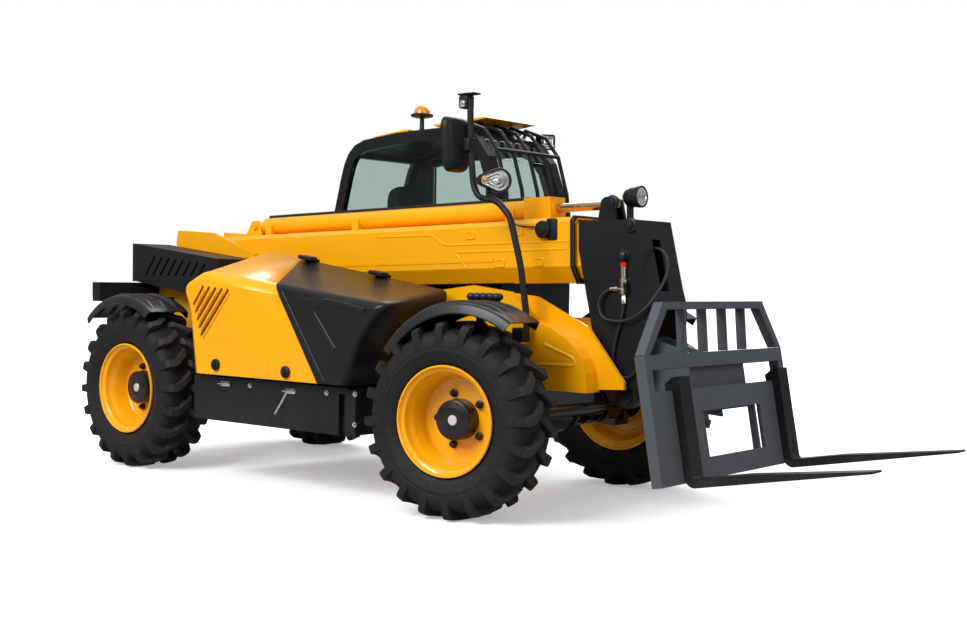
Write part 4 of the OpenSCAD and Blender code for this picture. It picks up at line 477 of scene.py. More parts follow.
def prisms(name, stacks, material, body, sharp=30, bevel=0.0):
    """One piece of many prisms given as [prism, corner, level, 3], each closed with a cap at both ends."""
    count, sides, levels = stacks.shape[:3]
    index = np.arange(count * sides * levels).reshape(count, sides, levels)
    after = np.roll(index, -1, 1)
    walls = np.stack([index[..., :-1], after[..., :-1], after[..., 1:], index[..., 1:]], -1).reshape(-1, 4)
    mesh = bpy.data.meshes.new(name)
    mesh.from_pydata(stacks.reshape(-1, 3).tolist(), [],
                     walls.tolist() + index[..., 0].tolist() + index[:, ::-1, -1].tolist())
    made = settle(name, mesh, material, body, sharp)
    if bevel:
        edge = made.modifiers.new("edge", "BEVEL")
        edge.width, edge.segments = bevel, 2
        edge.limit_method, edge.angle_limit = "ANGLE", np.radians(30)
    return made


def studs(places, profile, out, sides=12):
    """Turned studs [stud, corner, level, 3]: a profile of (radius, height) at each place along a way out."""
    places, profile, out = np.asarray(places, float), np.asarray(profile, float), np.asarray(out, float)
    first = np.cross(out, [0.31, 0.52, 0.79])
    first /= np.linalg.norm(first)
    second = np.cross(out, first)
    around = np.arange(sides)[:, None] / sides * 2 * np.pi
    spoke = np.cos(around) * first + np.sin(around) * second
    return places[:, None, None] + spoke[:, None] * profile[:, :1] + out * profile[:, 1:]


def circle_places(count, radius, out, start=0.0):
    """Places round the wheel's axis, evenly spaced on a circle, with a start given in shares of one step."""
    angle = (np.arange(count) + start) / count * 2 * np.pi
    return np.stack([radius * np.cos(angle), np.full(count, out), radius * np.sin(angle)], -1)


wheel_outward = (0, 1, 0)
nuts = studs(circle_places(5, radius=0.160, out=-0.0215, start=0.5), nut_profile, wheel_outward)
screws = studs(circle_places(10, radius=0.098, out=0.078), screw_profile, wheel_outward, sides=6)
for corner, x, side, steer, way in corners:
    wheel = corner + "_wheel"
    dish = grid_piece(corner + "_rim_dish", on_corner(revolved(rim_profile), x, side, steer), rim_lit_yellow,
                      wheel, close_u=True, close_v=True, sharp=35)
    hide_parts(corner + "_rim")
    for part, profile, steps, material in (("_hub_drum", drum_profile, 64, hub_black),
                                           ("_hub_cap", cap_profile, 40, cap_pale)):
        grid_piece(corner + part, on_corner(revolved(profile, steps), x, side, steer), material, wheel,
                   close_u=True, sharp=35)
    prisms(corner + "_wheel_nuts", on_corner(nuts, x, side, steer), hub_black, wheel)
    prisms(corner + "_hub_screws", on_corner(screws, x, side, steer), hub_black, wheel)

# Fenders: moulded black plastic arches over the wheels, with both edges turned down and three broad
# ribs along the top, bolted to a post of each knuckle so that they steer with the wheel.
fender_r, fender_half, fender_wall, fender_crown = 0.645, 0.19, 0.008, 0.004
edge_share, edge_drop, rib_share, rib_rise, under_share = 0.87, 0.058, 0.86, 0.015, 0.965
rib_gain, rib_waves, rib_cut = 1.6, 3.5, 0.2
arc_swell, fade_rate, fade_start = 0.006, 8, 0.3
fender_arc = {"front": (57, 146, 0.09, 0.05), "rear": (47, 124, 0.075, 0.04)}


def fender_points(first, last, ahead, up, steps=49):
    """Closed section [section, along]: radius over the width is a crown with three flat-topped cosine ribs,
    both edges roll down, and the under side follows a wall below; the ribs fade out at both ends. The arc
    runs between two angles in degrees round a centre ahead of and above the wheel's."""
    across = np.linspace(-1, 1, 61)
    wave = rib_gain * np.cos(rib_waves * np.pi * across) - rib_cut
    ribs = np.clip(wave, 0, 1) * (np.abs(across) < rib_share)
    past_edge = np.clip(np.abs(across) - edge_share, 0, None) / (1 - edge_share)
    top, span = fender_r - fender_crown - edge_drop * past_edge ** 2, across * fender_half
    upper = np.stack([top, span, ribs], -1)
    under = np.stack([top - fender_wall, span * under_share, ribs], -1)
    base, width, rib = np.concatenate([upper, under[::-1]]).T[..., None]
    share = np.linspace(0, 1, steps)
    along = np.radians(first + (last - first) * share)
    swell = 1 + arc_swell * np.sin(share * np.pi)
    fade = np.clip(fade_rate * np.minimum(share, 1 - share) - fade_start, 0, 1)
    radius = base * swell + rib_rise * rib * fade
    outward = np.repeat(width, steps, 1)
    return np.stack([ahead + radius * np.cos(along), outward, up + radius * np.sin(along)], -1)


fender_plastic = painted("fender_plastic", (0.012, 0.0125, 0.014), (0.019, 0.019, 0.021), rough=0.32,
                         ripple=700.0, bump=0.0004, coat=0.10, dust_most=0.05, shine=0.25)
for corner, x, side, steer, way in corners:
    arc = fender_points(*fender_arc[corner.split("_")[0]]) * [way, 1, 1]
    arch = grid_piece(corner + "_fender_arch", on_corner(arc, x, side, steer), fender_plastic,
                      corner + "_hub", close_u=True, caps=True, sharp=40)
    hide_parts(corner + "_fender")

# Engine hood: a shell of pressed steel panel, painted yellow with five louvres, and a moulded black front
# panel, both rolled at the edges. They meet on a slanted joint and swing up on two hinges by the boom.
hood_back, hood_low, hood_out, hood_in = front_axle - 2.484, 0.742, 1.08, 0.49
hood_long, hood_tall, crown_rise, hood_wall = 2.042, 0.698, 0.170, 0.016
face_inset, roll_depth, shoulder_share = 0.055, 0.07, 0.88
seam_ahead, seam_lean, seam_sweep, seam_half = 1.4376, 0.6787, 0.44, 0.002
panel_bend, front_bend, flat_enough = 0.07, 0.09, 0.9995
outline_shares = np.array([(0.84, 0), (0.875, 0.37), (0.94, 0.57), (1, 0.735), (0.116, 1), (0, 0.86),
                           (0.046, 0.626), (0.075, 0)])
crown_shares = np.array([0, 0, 0, 0.5, 1, 0.6, 0.1, 0])
outline = outline_shares * [hood_long, hood_tall] + [hood_back, hood_low]
inner = outline + crown_shares[:, None] * [0, crown_rise]


def inset(ring, amount):
    """A ring moved inward: each corner goes along the mean of its edges' normals; the bottom edge stays."""
    edge = np.roll(ring, -1, 0) - ring
    normal = np.stack([-edge[:, 1], edge[:, 0]], -1) / np.linalg.norm(edge, axis=1, keepdims=True)
    before = np.roll(normal, 1, 0)
    moved = ring + amount * (normal + before) / (1 + (normal * before).sum(1, keepdims=True))
    moved[[0, -1]] = ring[[0, -1]] + [[-amount, 0], [amount, 0]]
    return moved


def hood_rows():
    """Corners of the hood [corner, row, 3], from the flat face round a quarter ellipse to the top and on to
    the inner edge."""
    shoulder = inner + (outline - inner) * shoulder_share
    face = inset(outline, face_inset)
    sweep = np.linspace(0, np.pi / 2, 9)
    curved = face[:, None] + (shoulder - face)[:, None] * np.sin(sweep)[:, None]
    across = np.append(-(hood_out - roll_depth) - roll_depth * np.cos(sweep), -hood_in)
    flat = np.concatenate([curved, inner[:, None]], 1)
    return np.stack([flat[..., 0], np.broadcast_to(across, flat.shape[:2]), flat[..., 1]], -1)


def joint(rows, shift):
    """Where the slanted joint plane crosses the top edge of each row, moved along the machine by a shift."""
    x, y, z = np.moveaxis(rows, -1, 0)
    past = x - (hood_back + seam_ahead + shift - seam_lean * (z - hood_low) - seam_sweep * (y + hood_out))
    share = (past[4] / (past[4] - past[3]))[:, None]
    return rows[4] + share * (rows[3] - rows[4])


def smooth_path(corner_rows, bend, steps=7):
    """An open path of corners [corner, row, 3]: each inner corner is rounded by a parabola that starts and
    ends a bend's length from it, or at 0.45 of a shorter side."""
    here = corner_rows[1:-1]

    def on_side(other):
        """A point of each inner corner's side, toward the next corner on that side."""
        side = other - here
        return here + side * np.minimum(bend / np.linalg.norm(side, axis=-1, keepdims=True), 0.45)

    start, stop = on_side(corner_rows[:-2])[:, None], on_side(corner_rows[2:])[:, None]
    share = np.linspace(0, 1, steps).reshape(1, -1, 1, 1)
    bends = (1 - share) ** 2 * start + 2 * share * (1 - share) * here[:, None] + share ** 2 * stop
    return np.concatenate([corner_rows[:1], bends.reshape(-1, *corner_rows.shape[1:]), corner_rows[-1:]])


def shell(name, path, low_corner, holes, material):
    """A hood panel: the grid of a path [along, row, 3] and its flat face with holes, thickened inward."""
    nu, nv = path.shape[:2]
    index = np.arange(nu * nv).reshape(nu, nv)
    loops = [np.concatenate([path[:, 0], [low_corner]])[::-1]] + holes
    facets = tessellate_polygon([[Vector((x, z, 0)) for x, y, z in loop] for loop in loops])
    mesh = bpy.data.meshes.new(name)
    mesh.from_pydata(np.concatenate([path.reshape(-1, 3)] + loops).tolist(), [],
                     quads_over(index) + (np.array(facets) + nu * nv).tolist())
    made = settle(name, mesh, material, "engine_hood", sharp=30)
    normals = np.empty(len(mesh.polygons) * 3)
    mesh.polygons.foreach_get("normal", normals)
    mesh.polygons.foreach_set("use_smooth", np.abs(normals[1::3]) < flat_enough)
    wall = made.modifiers.new("wall", "SOLIDIFY")
    wall.thickness, wall.offset = hood_wall, -1.0
    return made


def capsule(start, stop, half, steps=8):
    """Outline in (ahead, up) of a slot with round ends between two points."""
    way = (stop - start) / np.linalg.norm(stop - start)
    sweep = np.arctan2(way[1], way[0]) + np.linspace(-np.pi / 2, np.pi / 2, steps)
    ends = [stop + half * np.stack([np.cos(sweep), np.sin(sweep)], -1),
            start + half * np.stack([np.cos(sweep + np.pi), np.sin(sweep + np.pi)], -1)]
    return np.concatenate(ends)


def on_hood_face(points):
    """Points (ahead of the front axle, up) on the hood's flat outer face."""
    forward, up = np.moveaxis(np.asarray(points, float), -1, 0)
    return np.stack([forward + front_axle, np.full(forward.shape, -hood_out), up], -1)


rows = hood_rows()
slot_half, slot_count = 0.012, 5
slot_tops = np.linspace((-2.222, 1.343), (-1.948, 1.323), slot_count)
slot_feet = np.linspace((-2.320, 1.222), (-2.235, 1.010), slot_count)
holes = [on_hood_face(capsule(foot, top, slot_half)) for foot, top in zip(slot_feet, slot_tops)]
seam_x = hood_back + seam_ahead
panel_path = smooth_path(np.stack([*rows[:3:-1], joint(rows, -seam_half)]), panel_bend)
panel = shell("hood_panel_skin", panel_path, (seam_x - seam_half, -hood_out, hood_low), holes, yellow)
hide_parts("hood_panel")
hood_plastic = painted("hood_black_gloss", (0.010, 0.0105, 0.012), (0.017, 0.017, 0.019), rough=0.28,
                       ripple=500.0, bump=0.0003, coat=0.06, dust_most=0.04, shine=0.15)
hood_tree = hood_plastic.node_tree
facing = node(hood_tree, "SeparateXYZ", [(node(hood_tree, "TexCoord").outputs["Normal"], "Vector")])
upper = node(hood_tree, "MapRange", [(facing.outputs["Z"], "Value")], interpolation_type="SMOOTHSTEP",
             From_Min=0.72, From_Max=0.97, To_Max=0.62)
tinted(hood_plastic, upper.outputs[0], (0.115, 0.062, 0.028))
front_path = smooth_path(np.stack([joint(rows, seam_half), *rows[3::-1]]), front_bend)
nose = shell("hood_front_skin", front_path, (seam_x + seam_half, -hood_out, hood_low), [], hood_plastic)
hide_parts("hood_front")

to_right, ridge_sink = (0, -1, 0), 0.0015


def ridge(name, line, half, tall, material, body, way=to_right, place=None):
    """A raised moulding with a round back along a line [n, 3]: half ellipses across it, flat on the panel."""
    line, way = np.asarray(line, float), np.asarray(way, float)
    across = np.cross(np.gradient(line, axis=0), way)
    across /= np.linalg.norm(across, axis=1, keepdims=True)
    sweep = np.linspace(0, np.pi, 9)[:, None, None]
    points = line + across * half * np.cos(sweep) + way * (tall * np.sin(sweep) - ridge_sink)
    if place:
        points = place(points)
    return grid_piece(name, points, material, body, close_u=True, caps=True, sharp=50)


def polyline(corner_points, bend, steps=6):
    """A flat path [n, 3] through corner points with each corner rounded."""
    return smooth_path(np.asarray(corner_points, float)[:, None], bend, steps)[:, 0]


bank_shift = np.array([0.020, -0.019])
for i, (foot, top) in enumerate(zip(slot_feet, slot_tops)):
    bank = on_hood_face(np.linspace(foot + bank_shift, top + bank_shift, 16))
    ridge(f"hood_louvre_{i}", bank, 0.011, 0.012, yellow, "engine_hood")
chevron = on_hood_face([(-0.62, 1.215), (-0.99, 1.275), (-1.105, 1.215), (-0.885, 0.965)])
ridge("hood_chevron", polyline(chevron, 0.05), 0.017, 0.010, hood_plastic, "engine_hood")
lip = on_hood_face([(-0.985, 0.752), (-1.395, 1.318)])
ridge("hood_joint_lip", polyline(lip, 0.05), 0.014, 0.007, hood_plastic, "engine_hood")

# Hood furniture: two round rubber catches low on the yellow panel, and two black hinges on the top edge,
# each a plate with cut corners that is screwed down beside the boom.
catch_profile = [(0.036, -0.002), (0.040, 0.006), (0.040, 0.016), (0.034, 0.022), (0.020, 0.024),
                 (0.017, 0.036), (0.005, 0.040)]
catch_places = on_hood_face([(-2.062, 0.812), (-1.340, 0.800)])
catches = studs(catch_places, catch_profile, to_right, sides=18)
prisms("hood_catches", catches, plastic, "engine_hood", sharp=40)
hinge_shares, hinge_levels = np.array([[0.26], [0.65]]), (0.002, 0.030)
hinge_ring = np.array([(-0.062, -0.060), (0.062, -0.060), (0.062, 0.016), (0.034, 0.028), (-0.034, 0.028),
                       (-0.062, 0.016)])
top_edge = inner[3] - inner[4]
slope = np.arctan2(top_edge[1], top_edge[0])
hinge_at = (inner[4] + top_edge * hinge_shares)[:, None, None]
leaf_along, leaf_across = hinge_ring.T[:, :, None]
leaf_up = leaf_along * np.sin(slope) + np.array(hinge_levels)
leaves = np.stack(np.broadcast_arrays(hinge_at[..., 0] + leaf_along * np.cos(slope), leaf_across - hood_in,
                                      hinge_at[..., 1] + leaf_up), -1)
prisms("hood_hinges", leaves, plastic, "engine_hood", sharp=30, bevel=0.006)

# Boom details: the pressed side plates carry embossed lines and oblong doubler pads, painted over in yellow;
# a black sensor cap and its cable are screwed on, and a rubber seal frame closes the mouth of the outer boom.


def oblong(centre, size, power=5.0, steps=36):
    """Ring of (a, b) points of a rounded rectangle, |a|^p + |b|^p = 1, of a size about a centre."""
    turn = np.arange(steps) / steps * 2 * np.pi
    wave = np.stack([np.cos(turn), np.sin(turn)], -1)
    return np.array(centre) + np.sign(wave) * np.abs(wave) ** (2 / power) * np.array(size) / 2


def pad(ring, levels):
    """Stack [1, corner, level, 3] of (a, b, out) points: the ring at each (out, scale about its middle)."""
    ring = np.asarray(ring, float)
    middle = ring.mean(0)
    rings = [np.insert(middle + (ring - middle) * scale, 2, out, 1) for out, scale in levels]
    return np.stack(rings, 1)[None]


def beside(points, y):
    """Local (ahead, up, out) points on a wall that looks to the machine's right, y from its middle."""
    return np.stack([points[..., 0], -y - points[..., 2], points[..., 1]], -1)


boom_y, collar_y = 0.200, 0.206
upper_line = [(1.905, -boom_y, 0.084), (2.423, -boom_y, 0.079), (2.536, -boom_y, 0.008),
              (3.08, -boom_y, 0.0045), (3.11, -collar_y, 0.0043), (3.58, -collar_y, 0.001)]
lower_line = [(2.728, -boom_y, -0.146), (2.625, -boom_y, -0.043), (3.08, -boom_y, -0.045),
              (3.11, -collar_y, -0.0452), (3.552, -collar_y, -0.047)]
for name, line in (("boom_line_upper", upper_line), ("boom_line_lower", lower_line)):
    ridge(name, polyline(line, 0.035), 0.008, 0.005, yellow, "boom", place=on_boom)
doubler_size = (0.082, 0.058)
doubler_levels = [(-0.002, 1.0), (0.004, 1.0), (0.007, 0.90), (0.007, 0.62), (0.003, 0.54)]
doubler_places = [((2.77, 0.066), boom_y), ((3.178, 0.076), collar_y), ((3.02, -0.124), boom_y),
                  ((3.344, -0.124), collar_y)]
doublers = [beside(pad(oblong(centre, doubler_size), doubler_levels), wall)
            for centre, wall in doubler_places]
prisms("boom_doublers", on_boom(np.concatenate(doublers)), yellow, "boom", sharp=35)
sensor_profile = [(0.052, -0.002), (0.056, 0.008), (0.056, 0.030), (0.050, 0.038), (0.034, 0.039),
                  (0.030, 0.048), (0.010, 0.050)]
sensor = studs([(3.394, -collar_y, 0.080)], sensor_profile, to_right, sides=28)
prisms("boom_sensor_cap", on_boom(sensor), plastic, "boom", sharp=40)
bracket = pad(oblong((3.455, 0.080), (0.075, 0.135), 8), [(-0.002, 1.0), (0.012, 1.0), (0.014, 0.95)])
prisms("boom_sensor_bracket", on_boom(beside(bracket, collar_y)), plastic, "boom", sharp=40)
cable = [(3.37, -collar_y - 0.018, 0.090), (3.32, -collar_y - 0.018, 0.098), (3.20, -collar_y - 0.012, 0.108),
         (3.10, -boom_y - 0.004, 0.150)]
ridge("boom_sensor_cable", polyline(cable, 0.05), 0.005, 0.009, plastic, "boom", place=on_boom)
mouth = np.array([(-0.146, -0.262), (0.146, -0.262), (0.212, -0.155), (0.212, 0.129), (0.182, 0.159),
                  (-0.182, 0.159), (-0.212, 0.129), (-0.212, -0.155)])
seal_section = [(3.597, 1.012), (3.616, 1.012), (3.624, 0.985), (3.624, 0.925), (3.597, 0.925)]
seal = np.stack([np.insert(mouth * scale, 0, along, 1) for along, scale in seal_section], 1)
grid_piece("boom_mouth_seal", on_boom(seal), plastic, "boom", close_u=True, close_v=True, sharp=30)
to_sky, pipe_over = (0, 0, 1), 0.290
oil_pipe = polyline([(0.52, 0, pipe_over), (3.06, 0, pipe_over), (3.115, 0, pipe_over)], 0.05)
ridge("boom_oil_pipe", oil_pipe, 0.012, 0.022, plastic, "boom", to_sky, on_boom)

# Head fittings: pin heads and a knob on the head's right plate, black, and a plated tee with a red dust cap
# where the two hoses meet. The lamp on the head has a bright reflector behind its glass.
head_y, tee_y, tee_along = 0.2055, 0.2195, 3.998
to_front, to_rear = (1, 0, 0), (-1, 0, 0)


def head_studs(name, places, profile, way, material, sides=18, sharp=35):
    """Turned fittings at places of the boom's frame, as one piece that slides out with the head."""
    prisms(name, on_boom(studs(places, profile, way, sides)), material, "boom_extension", sharp)


pin_profile = [(0.046, -0.002), (0.046, 0.010), (0.040, 0.014), (0.024, 0.014), (0.022, 0.024),
               (0.006, 0.026)]
pin_places = [(3.913, -head_y, 0.222), (4.041, -head_y, 0.081)]
head_studs("head_pins", pin_places, pin_profile, to_right, black, sides=24, sharp=40)
knob_profile = [(0.040, -0.002), (0.040, 0.006), (0.024, 0.008), (0.022, 0.022), (0.028, 0.026),
                (0.028, 0.040), (0.020, 0.044)]
head_studs("head_knob", [(3.998, -head_y, -0.105)], knob_profile, to_right, black, sides=6, sharp=30)
plated = painted("plated_fitting", (0.74, 0.71, 0.62), (0.62, 0.58, 0.48), rough=0.24, ripple=120.0,
                 bump=0.0004, metal=1.0, dust_most=0.1)
red = painted("red_plastic", (0.62, 0.012, 0.010), (0.50, 0.010, 0.008), rough=0.35, ripple=400.0,
              bump=0.0003, dust_most=0.1)
post_profile = [(0.013, 0.0), (0.017, 0.004), (0.017, 0.040), (0.0145, 0.044), (0.0145, 0.056),
                (0.025, 0.060), (0.025, 0.088), (0.022, 0.092), (0.022, 0.128), (0.025, 0.132),
                (0.025, 0.150), (0.018, 0.156), (0.018, 0.222)]
arm_profile = [(0.020, 0.0), (0.020, 0.030), (0.016, 0.034), (0.016, 0.060), (0.013, 0.064), (0.013, 0.085)]
dust_cap_profile = [(0.0165, 0.0), (0.0195, 0.003), (0.0195, 0.026), (0.015, 0.032)]
head_studs("head_tee_post", [(tee_along, -tee_y, -0.392)], post_profile, to_sky, plated)
head_studs("head_tee_arm", [(3.990, -tee_y, -0.300)], arm_profile, to_rear, plated)
head_studs("head_dust_cap", [(tee_along, -tee_y, -0.172)], dust_cap_profile, to_sky, red)
mirrored = painted("bright_reflector", (0.86, 0.87, 0.89), (0.66, 0.67, 0.70), rough=0.07, ripple=55.0,
                   bump=0.004, metal=0.9, dust_most=0.05)
lamp_at = [(3.960, 0.026, 0.2686)]
reflector_profile = [(0.060, -0.006), (0.060, 0.004), (0.055, 0.008), (0.047, 0.004), (0.036, 0.008),
                     (0.024, 0.005), (0.012, 0.009), (0.002, 0.009)]
head_studs("head_lamp_lens", lamp_at, reflector_profile, to_front, mirrored, sides=24, sharp=20)
bezel_section = [(0.059, -0.012), (0.068, -0.012), (0.068, 0.010), (0.061, 0.014), (0.059, 0.006)]
bezel = studs(lamp_at, bezel_section, to_front, sides=36)[0]
grid_piece("head_lamp_rim", on_boom(bezel), plastic, "boom_extension", close_u=True, close_v=True, sharp=40)

# Headlamps: drop-shaped lamps in black housings, with a bright faceted reflector behind the glass and an
# amber bulb at the narrow end. The right one stands on the mirror's pole, the left one on the cab's cowl.
# A square work lamp of the same make is clamped high on the cab, by its left front corner.
amber = painted("amber_lens", (0.90, 0.27, 0.008), (0.78, 0.20, 0.006), rough=0.14, ripple=90.0, bump=0.0006,
                coat=0.5, dust_most=0.1)


def faced(points, origin, turn=0.0, way=1):
    """Local (left, up, out) points on a face that looks ahead, mirrored by way and turned about Z, put at an
    origin given from the front axle."""
    left, up, out = np.moveaxis(points, -1, 0)
    left = way * left
    forward = out * np.cos(turn) - left * np.sin(turn)
    across = out * np.sin(turn) + left * np.cos(turn)
    return np.stack([forward, across, up], -1) + origin + [front_axle, 0, 0]


reflector_facets = [(-0.012, 0.93), (0.002, 0.92), (0.005, 0.84), (0.000, 0.70), (0.006, 0.56), (0.001, 0.42),
                    (0.007, 0.27), (0.003, 0.12), (0.004, 0.02)]
rim_section = [(-0.030, 1.02), (0.006, 1.045), (0.011, 1.01), (0.008, 0.92), (-0.010, 0.915)]


def glazed(name, ring, origin, turn=0.0, way=1):
    """A lamp's faceted reflector under glass and the black rim round it, both on one ring."""
    facets = faced(pad(ring, reflector_facets), origin, turn, way)
    prisms(name + "_glass", facets, mirrored, "chassis", sharp=20)
    rim = faced(pad(ring, rim_section)[0], origin, turn, way)
    grid_piece(name + "_rim", rim, plastic, "chassis", close_u=True, close_v=True, sharp=40)


wide_r, narrow_r, end_out = 0.075, 0.0375, 0.05
lamp_turn = np.arange(48) / 48 * 2 * np.pi
wide_end = np.cos(lamp_turn) > -0.375
end_r = np.where(wide_end, wide_r, narrow_r)
end_middle = np.where(wide_end, end_out, -end_out)
lamp_ring = np.stack([end_middle + end_r * np.cos(lamp_turn), end_r * np.sin(lamp_turn)], -1)
bulb = pad(oblong((-0.048, 0.002), (0.034, 0.034), 2, 18),
           [(0.0, 1.0), (0.008, 0.95), (0.013, 0.7), (0.015, 0.3)])
for name, origin, turn, way in (("right_headlamp", (-0.1151, -0.4805, 2.0375), np.radians(-28), 1),
                                ("left_headlamp", (-0.5085, 0.800, 1.479), 0.0, -1)):
    glazed(name, lamp_ring, origin, turn, way)
    prisms(name + "_bulb", faced(bulb, origin, turn, way), amber, "chassis", sharp=40)
work_at, work_turn, work_ring = (-0.893, 1.088, 2.4625), np.radians(-35), oblong((0, 0), (0.112, 0.112), 7)
glazed("work_lamp", work_ring, work_at, work_turn)
housing = pad(work_ring, [(-0.100, 0.72), (-0.085, 0.90), (-0.035, 1.0), (-0.012, 1.0)])
prisms("work_lamp_housing", faced(housing, work_at, work_turn), plastic, "chassis", sharp=40)

# Mirror pole: a bent black steel tube clamped to the nose, with a moulded mirror head on a clamp arm and a
# small hooded lamp at the top.
pole_y, pole_r, pole_bend = -0.450, 0.021, 0.05
pole_path = np.array([(0.150, 1.040), (0.150, 1.183), (0.097, 1.506), (0.005, 1.815), (-0.100, 1.911),
                      (-0.245, 1.933), (-0.295, 2.006), (-0.325, 2.271), (-0.330, 2.560)])


def tube(name, line, radius, material, body, sides=14):
    """A round tube along a flat path [n, 3] that stays in one upright plane along the machine."""
    to_left = np.array([0.0, 1.0, 0.0])
    across = np.cross(np.gradient(line, axis=0), to_left)
    across /= np.linalg.norm(across, axis=1, keepdims=True)
    turn = (np.arange(sides) / sides * 2 * np.pi)[:, None, None]
    points = line + radius * (np.cos(turn) * across + np.sin(turn) * to_left)
    return grid_piece(name, points, material, body, close_u=True, caps=True, sharp=40)


pole_line = np.insert(pole_path + [front_axle, 0], 1, pole_y, 1)
pole = tube("mirror_pole_tube", polyline(pole_line, pole_bend), pole_r, plastic, "chassis")
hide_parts("mirror_pole")
mirror_w, mirror_h, mirror_taper = 0.25, 0.35, 0.26
mirror_at = (-0.347, -0.520, 2.271)
mirror_ring = oblong((0, 0), (mirror_w, mirror_h), 5, 48)
narrowing = 1 - mirror_taper * (0.5 - mirror_ring[:, 1] / mirror_h)
mirror_ring[:, 0] *= np.where(mirror_ring[:, 0] < 0, narrowing, 1)
mirror_levels = [(-0.075, 0.90), (-0.073, 0.96), (-0.064, 1.0), (-0.050, 0.995), (-0.030, 0.95),
                 (-0.014, 0.86), (-0.006, 0.66), (-0.003, 0.35), (-0.002, 0.04)]
prisms("mirror_shell", faced(pad(mirror_ring, mirror_levels), mirror_at), plastic, "chassis", sharp=40)
mirror_pane = pad(mirror_ring, [(-0.079, 0.86), (-0.0745, 0.88)])
prisms("mirror_glass", faced(mirror_pane, mirror_at), chrome, "chassis", sharp=40)
clamps = [pad(oblong((0.028, 0.0), (0.080, 0.085), 8), [(-0.014, 1.0), (0.040, 1.0), (0.046, 0.94)]),
          pad(oblong((0.0, -1.190), (0.075, 0.090), 8), [(0.440, 1.0), (0.515, 1.0), (0.520, 0.95)])]
clamps_at = (-0.347, pole_y - 0.035, 2.271)
prisms("mirror_clamps", faced(np.concatenate(clamps), clamps_at), plastic, "chassis", sharp=40)
body_levels = [(-0.070, 0.9), (-0.060, 1.0), (-0.004, 1.0), (0.0, 0.96)]
brim_levels = [(-0.075, 1.0), (0.0, 1.0), (0.030, 1.0), (0.052, 0.92)]
hooded = [pad(oblong((0.0, 0.0), (0.072, 0.085), 7), body_levels),
          pad(oblong((0.0, 0.048), (0.086, 0.012), 4), brim_levels)]
prisms("pole_lamp_body", faced(np.concatenate(hooded), (-0.330, pole_y, 2.545)), plastic, "chassis", sharp=40)
pole_glass = pad(oblong((front_axle - 0.366, 2.532), (0.044, 0.046), 6),
                 [(-0.002, 1.0), (0.003, 0.95), (0.001, 0.6), (0.004, 0.3)])
prisms("pole_lamp_glass", beside(pole_glass, 0.036 - pole_y), mirrored, "chassis", sharp=25)

# Roof: a black moulded cover over the cab, a yellow panel along its back part and an upswept yellow visor
# over the windscreen, all screwed to the frame. The beacon is an amber dome on a black foot.
roof_low, roof_high = (np.array(end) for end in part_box("cab_roof"))
roof_edge, edge_shrink = 0.018, 0.985


def roof_slab(name, shares, side, material):
    """A roof panel: an outline of (length, height) shares of the CAD roof's box, carried across its width but
    for a side, and a little smaller at both ends."""
    flat = roof_low[[0, 2]] + np.asarray(shares, float) * (roof_high - roof_low)[[0, 2]]
    middle = flat.mean(0)
    right, left = roof_low[1] + side, roof_high[1] - side
    levels = [np.insert(middle + (flat - middle) * scale, 1, y, 1)
              for y, scale in ((right, edge_shrink), (right + roof_edge, 1.0), (left - roof_edge, 1.0),
                               (left, edge_shrink))]
    return prisms(name, np.stack(levels, 1)[None], material, "chassis", sharp=35, bevel=0.006)


cover_shares = [(0.02, 0.02), (0.33, 0.28), (0.86, 0.28), (0.86, 0.44), (0.70, 0.50), (0.40, 0.46),
                (0.02, 0.16)]
back_shares = [(0.0, 0.06), (0.33, 0.34), (0.345, 0.52), (0.30, 0.56), (0.0, 0.26)]
visor_shares = [(0.56, 0.58), (0.82, 0.66), (1.0, 0.84), (0.985, 0.94), (0.80, 0.86), (0.52, 0.74)]
cover = roof_slab("roof_cover", cover_shares, side=0.0, material=plastic)
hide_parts("cab_roof")
roof_slab("roof_back_panel", back_shares, side=-0.012, material=yellow)
roof_slab("roof_visor", visor_shares, side=0.03, material=yellow)
beacon_at = [(front_axle - 1.592, 0.4496, 2.5957)]
foot_profile = [(0.024, -0.060), (0.018, -0.050), (0.016, 0.028), (0.050, 0.032), (0.080, 0.040),
                (0.084, 0.046), (0.084, 0.056), (0.070, 0.062), (0.020, 0.062)]
foot = prisms("beacon_foot", studs(beacon_at, foot_profile, to_sky, sides=36), plastic, "chassis", sharp=40)
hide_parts("beacon")
dome_profile = [(0.062, 0.060), (0.061, 0.072), (0.058, 0.086), (0.051, 0.101), (0.040, 0.113),
                (0.025, 0.122), (0.008, 0.126)]
prisms("beacon_dome", studs(beacon_at, dome_profile, to_sky, sides=36), amber, "chassis", sharp=50)

# Seat: foam cushions under dark woven cloth, piped along the edges and screwed to the floor of the cab.
# The backrest leans a little to the rear.
cloth = painted("seat_cloth", (0.016, 0.017, 0.019), (0.030, 0.031, 0.034), rough=0.85, ripple=1400.0,
                bump=0.0012, dust_most=0.1, shine=0.15)
puff = [(0.0, 0.80), (0.004, 0.92), (0.018, 0.985), (0.050, 1.0), (0.082, 0.985), (0.096, 0.95),
        (0.101, 0.94), (0.104, 0.91), (0.112, 0.72), (0.114, 0.40), (0.113, 0.06)]
seat_y, seat_lean = 0.695, np.radians(8)
cushion_at = [front_axle - 1.710, seat_y, 1.363]
backrest_at = [front_axle - 1.9225, seat_y, 1.42]
cushion_points = pad(oblong((0, 0), (0.48, 0.48), 5, 48), puff) + cushion_at
left, up, out = np.moveaxis(pad(oblong((0, 0.36), (0.432, 0.72), 4, 48), puff), -1, 0)
backrest_points = np.stack([out * np.cos(seat_lean) - up * np.sin(seat_lean), left,
                            out * np.sin(seat_lean) + up * np.cos(seat_lean)], -1) + backrest_at
bottom = prisms("seat_cushion", cushion_points, cloth, "chassis", sharp=50)
backrest = prisms("seat_back", backrest_points, cloth, "chassis", sharp=50)
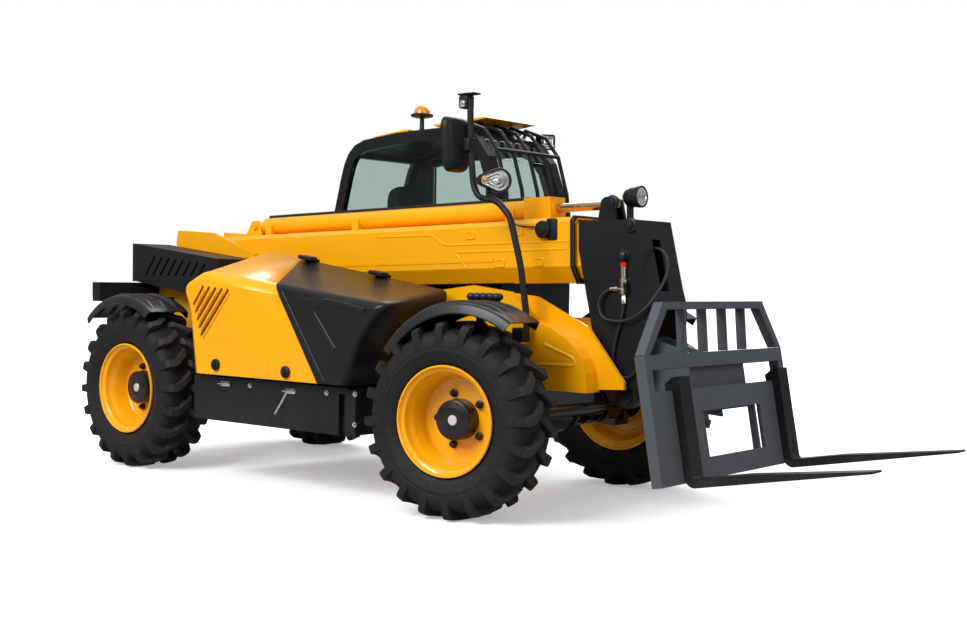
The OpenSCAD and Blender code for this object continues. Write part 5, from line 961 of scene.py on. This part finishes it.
for cushion in (bottom, backrest):
    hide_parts("seat")

# Nose and skirt furniture: the nose carries an embossed line, the skirt bright toggle latches, levers and
# bolt heads and a plate over its front corner, and the hood a bare painted plate.
nose_y, skirt_y = 0.400, 1.02
nose_corners = np.array([(0.25, 1.025), (0.472, 0.951), (0.485, 0.906), (0.219, 0.901)]) + [front_axle, 0]
ridge("nose_line", polyline(np.insert(nose_corners, 1, -nose_y, 1), 0.03), 0.012, 0.009, yellow, "chassis")
latches = np.array([(-2.037, 0.679), (-1.364, 0.670)]) + [front_axle, 0]
latch_levels = [(-0.002, 1.0), (0.006, 1.0), (0.008, 0.9)]
plates = [beside(pad(oblong(at, (0.100, 0.036), 6), latch_levels), skirt_y) for at in latches]
prisms("skirt_latches", np.concatenate(plates), chrome, "chassis", sharp=35)
lever_corners = np.array([(-0.070, -0.004, -0.002), (-0.02, -0.012, 0), (0.042, -0.006, 0.006)])
for i, (x, z) in enumerate(latches):
    lever = polyline(lever_corners + [x, -skirt_y, z], 0.02)
    ridge(f"skirt_lever_{i}", lever, 0.009, 0.012, chrome, "chassis")
lever_x = latches[1, 0]
hanging = [(lever_x - 0.035, -skirt_y, 0.664), (lever_x - 0.085, -skirt_y, 0.592),
           (front_axle - 1.515, -skirt_y, 0.512)]
ridge("skirt_open_lever", polyline(hanging, 0.02), 0.010, 0.013, chrome, "chassis")
corner_plate = pad(oblong((front_axle - 0.803, 0.565), (0.094, 0.298), 30),
                   [(-0.045, 1.0), (-0.004, 1.0), (-0.001, 0.985)])
prisms("skirt_corner_plate", beside(corner_plate, skirt_y), plastic, "chassis", sharp=40)
bolt_spots = np.array([(-1.776, 0.682), (-1.018, 0.682), (-0.759, 0.690), (-0.760, 0.499)]) + [front_axle, 0]
bolt_profile = [(0.020, -0.001), (0.020, 0.003), (0.012, 0.004), (0.012, 0.012), (0.009, 0.014)]
bolts = studs(np.insert(bolt_spots, 1, -skirt_y, 1), bolt_profile, to_right, sides=6)
prisms("skirt_bolts", bolts, chrome, "chassis")
bare_plate = pad(oblong((front_axle - 1.56, 0.848), (0.080, 0.117), 12),
                 [(-0.001, 1.0), (0.0015, 1.0), (0.002, 0.98)])
prisms("hood_label_plate", beside(bare_plate, hood_out), yellow, "engine_hood", sharp=40)

# Line couplings: a row of plastic-capped couplings that stands on the inner edge of the right front fender
# and steers with it.
coupling_count, coupling_out, coupling_up = 5, -0.155, 0.702
coupling_profile = [(0.014, -0.030), (0.014, 0.0), (0.028, 0.010), (0.034, 0.024), (0.030, 0.040),
                    (0.016, 0.050)]
coupling_row = np.linspace((-0.02, coupling_out, coupling_up), (0.16, coupling_out, coupling_up),
                           coupling_count)
couplings = on_corner(studs(coupling_row, coupling_profile, to_sky, sides=16), *corners[0][1:4])
prisms("fender_couplings", couplings, fender_plastic, "front_right_hub", sharp=50)
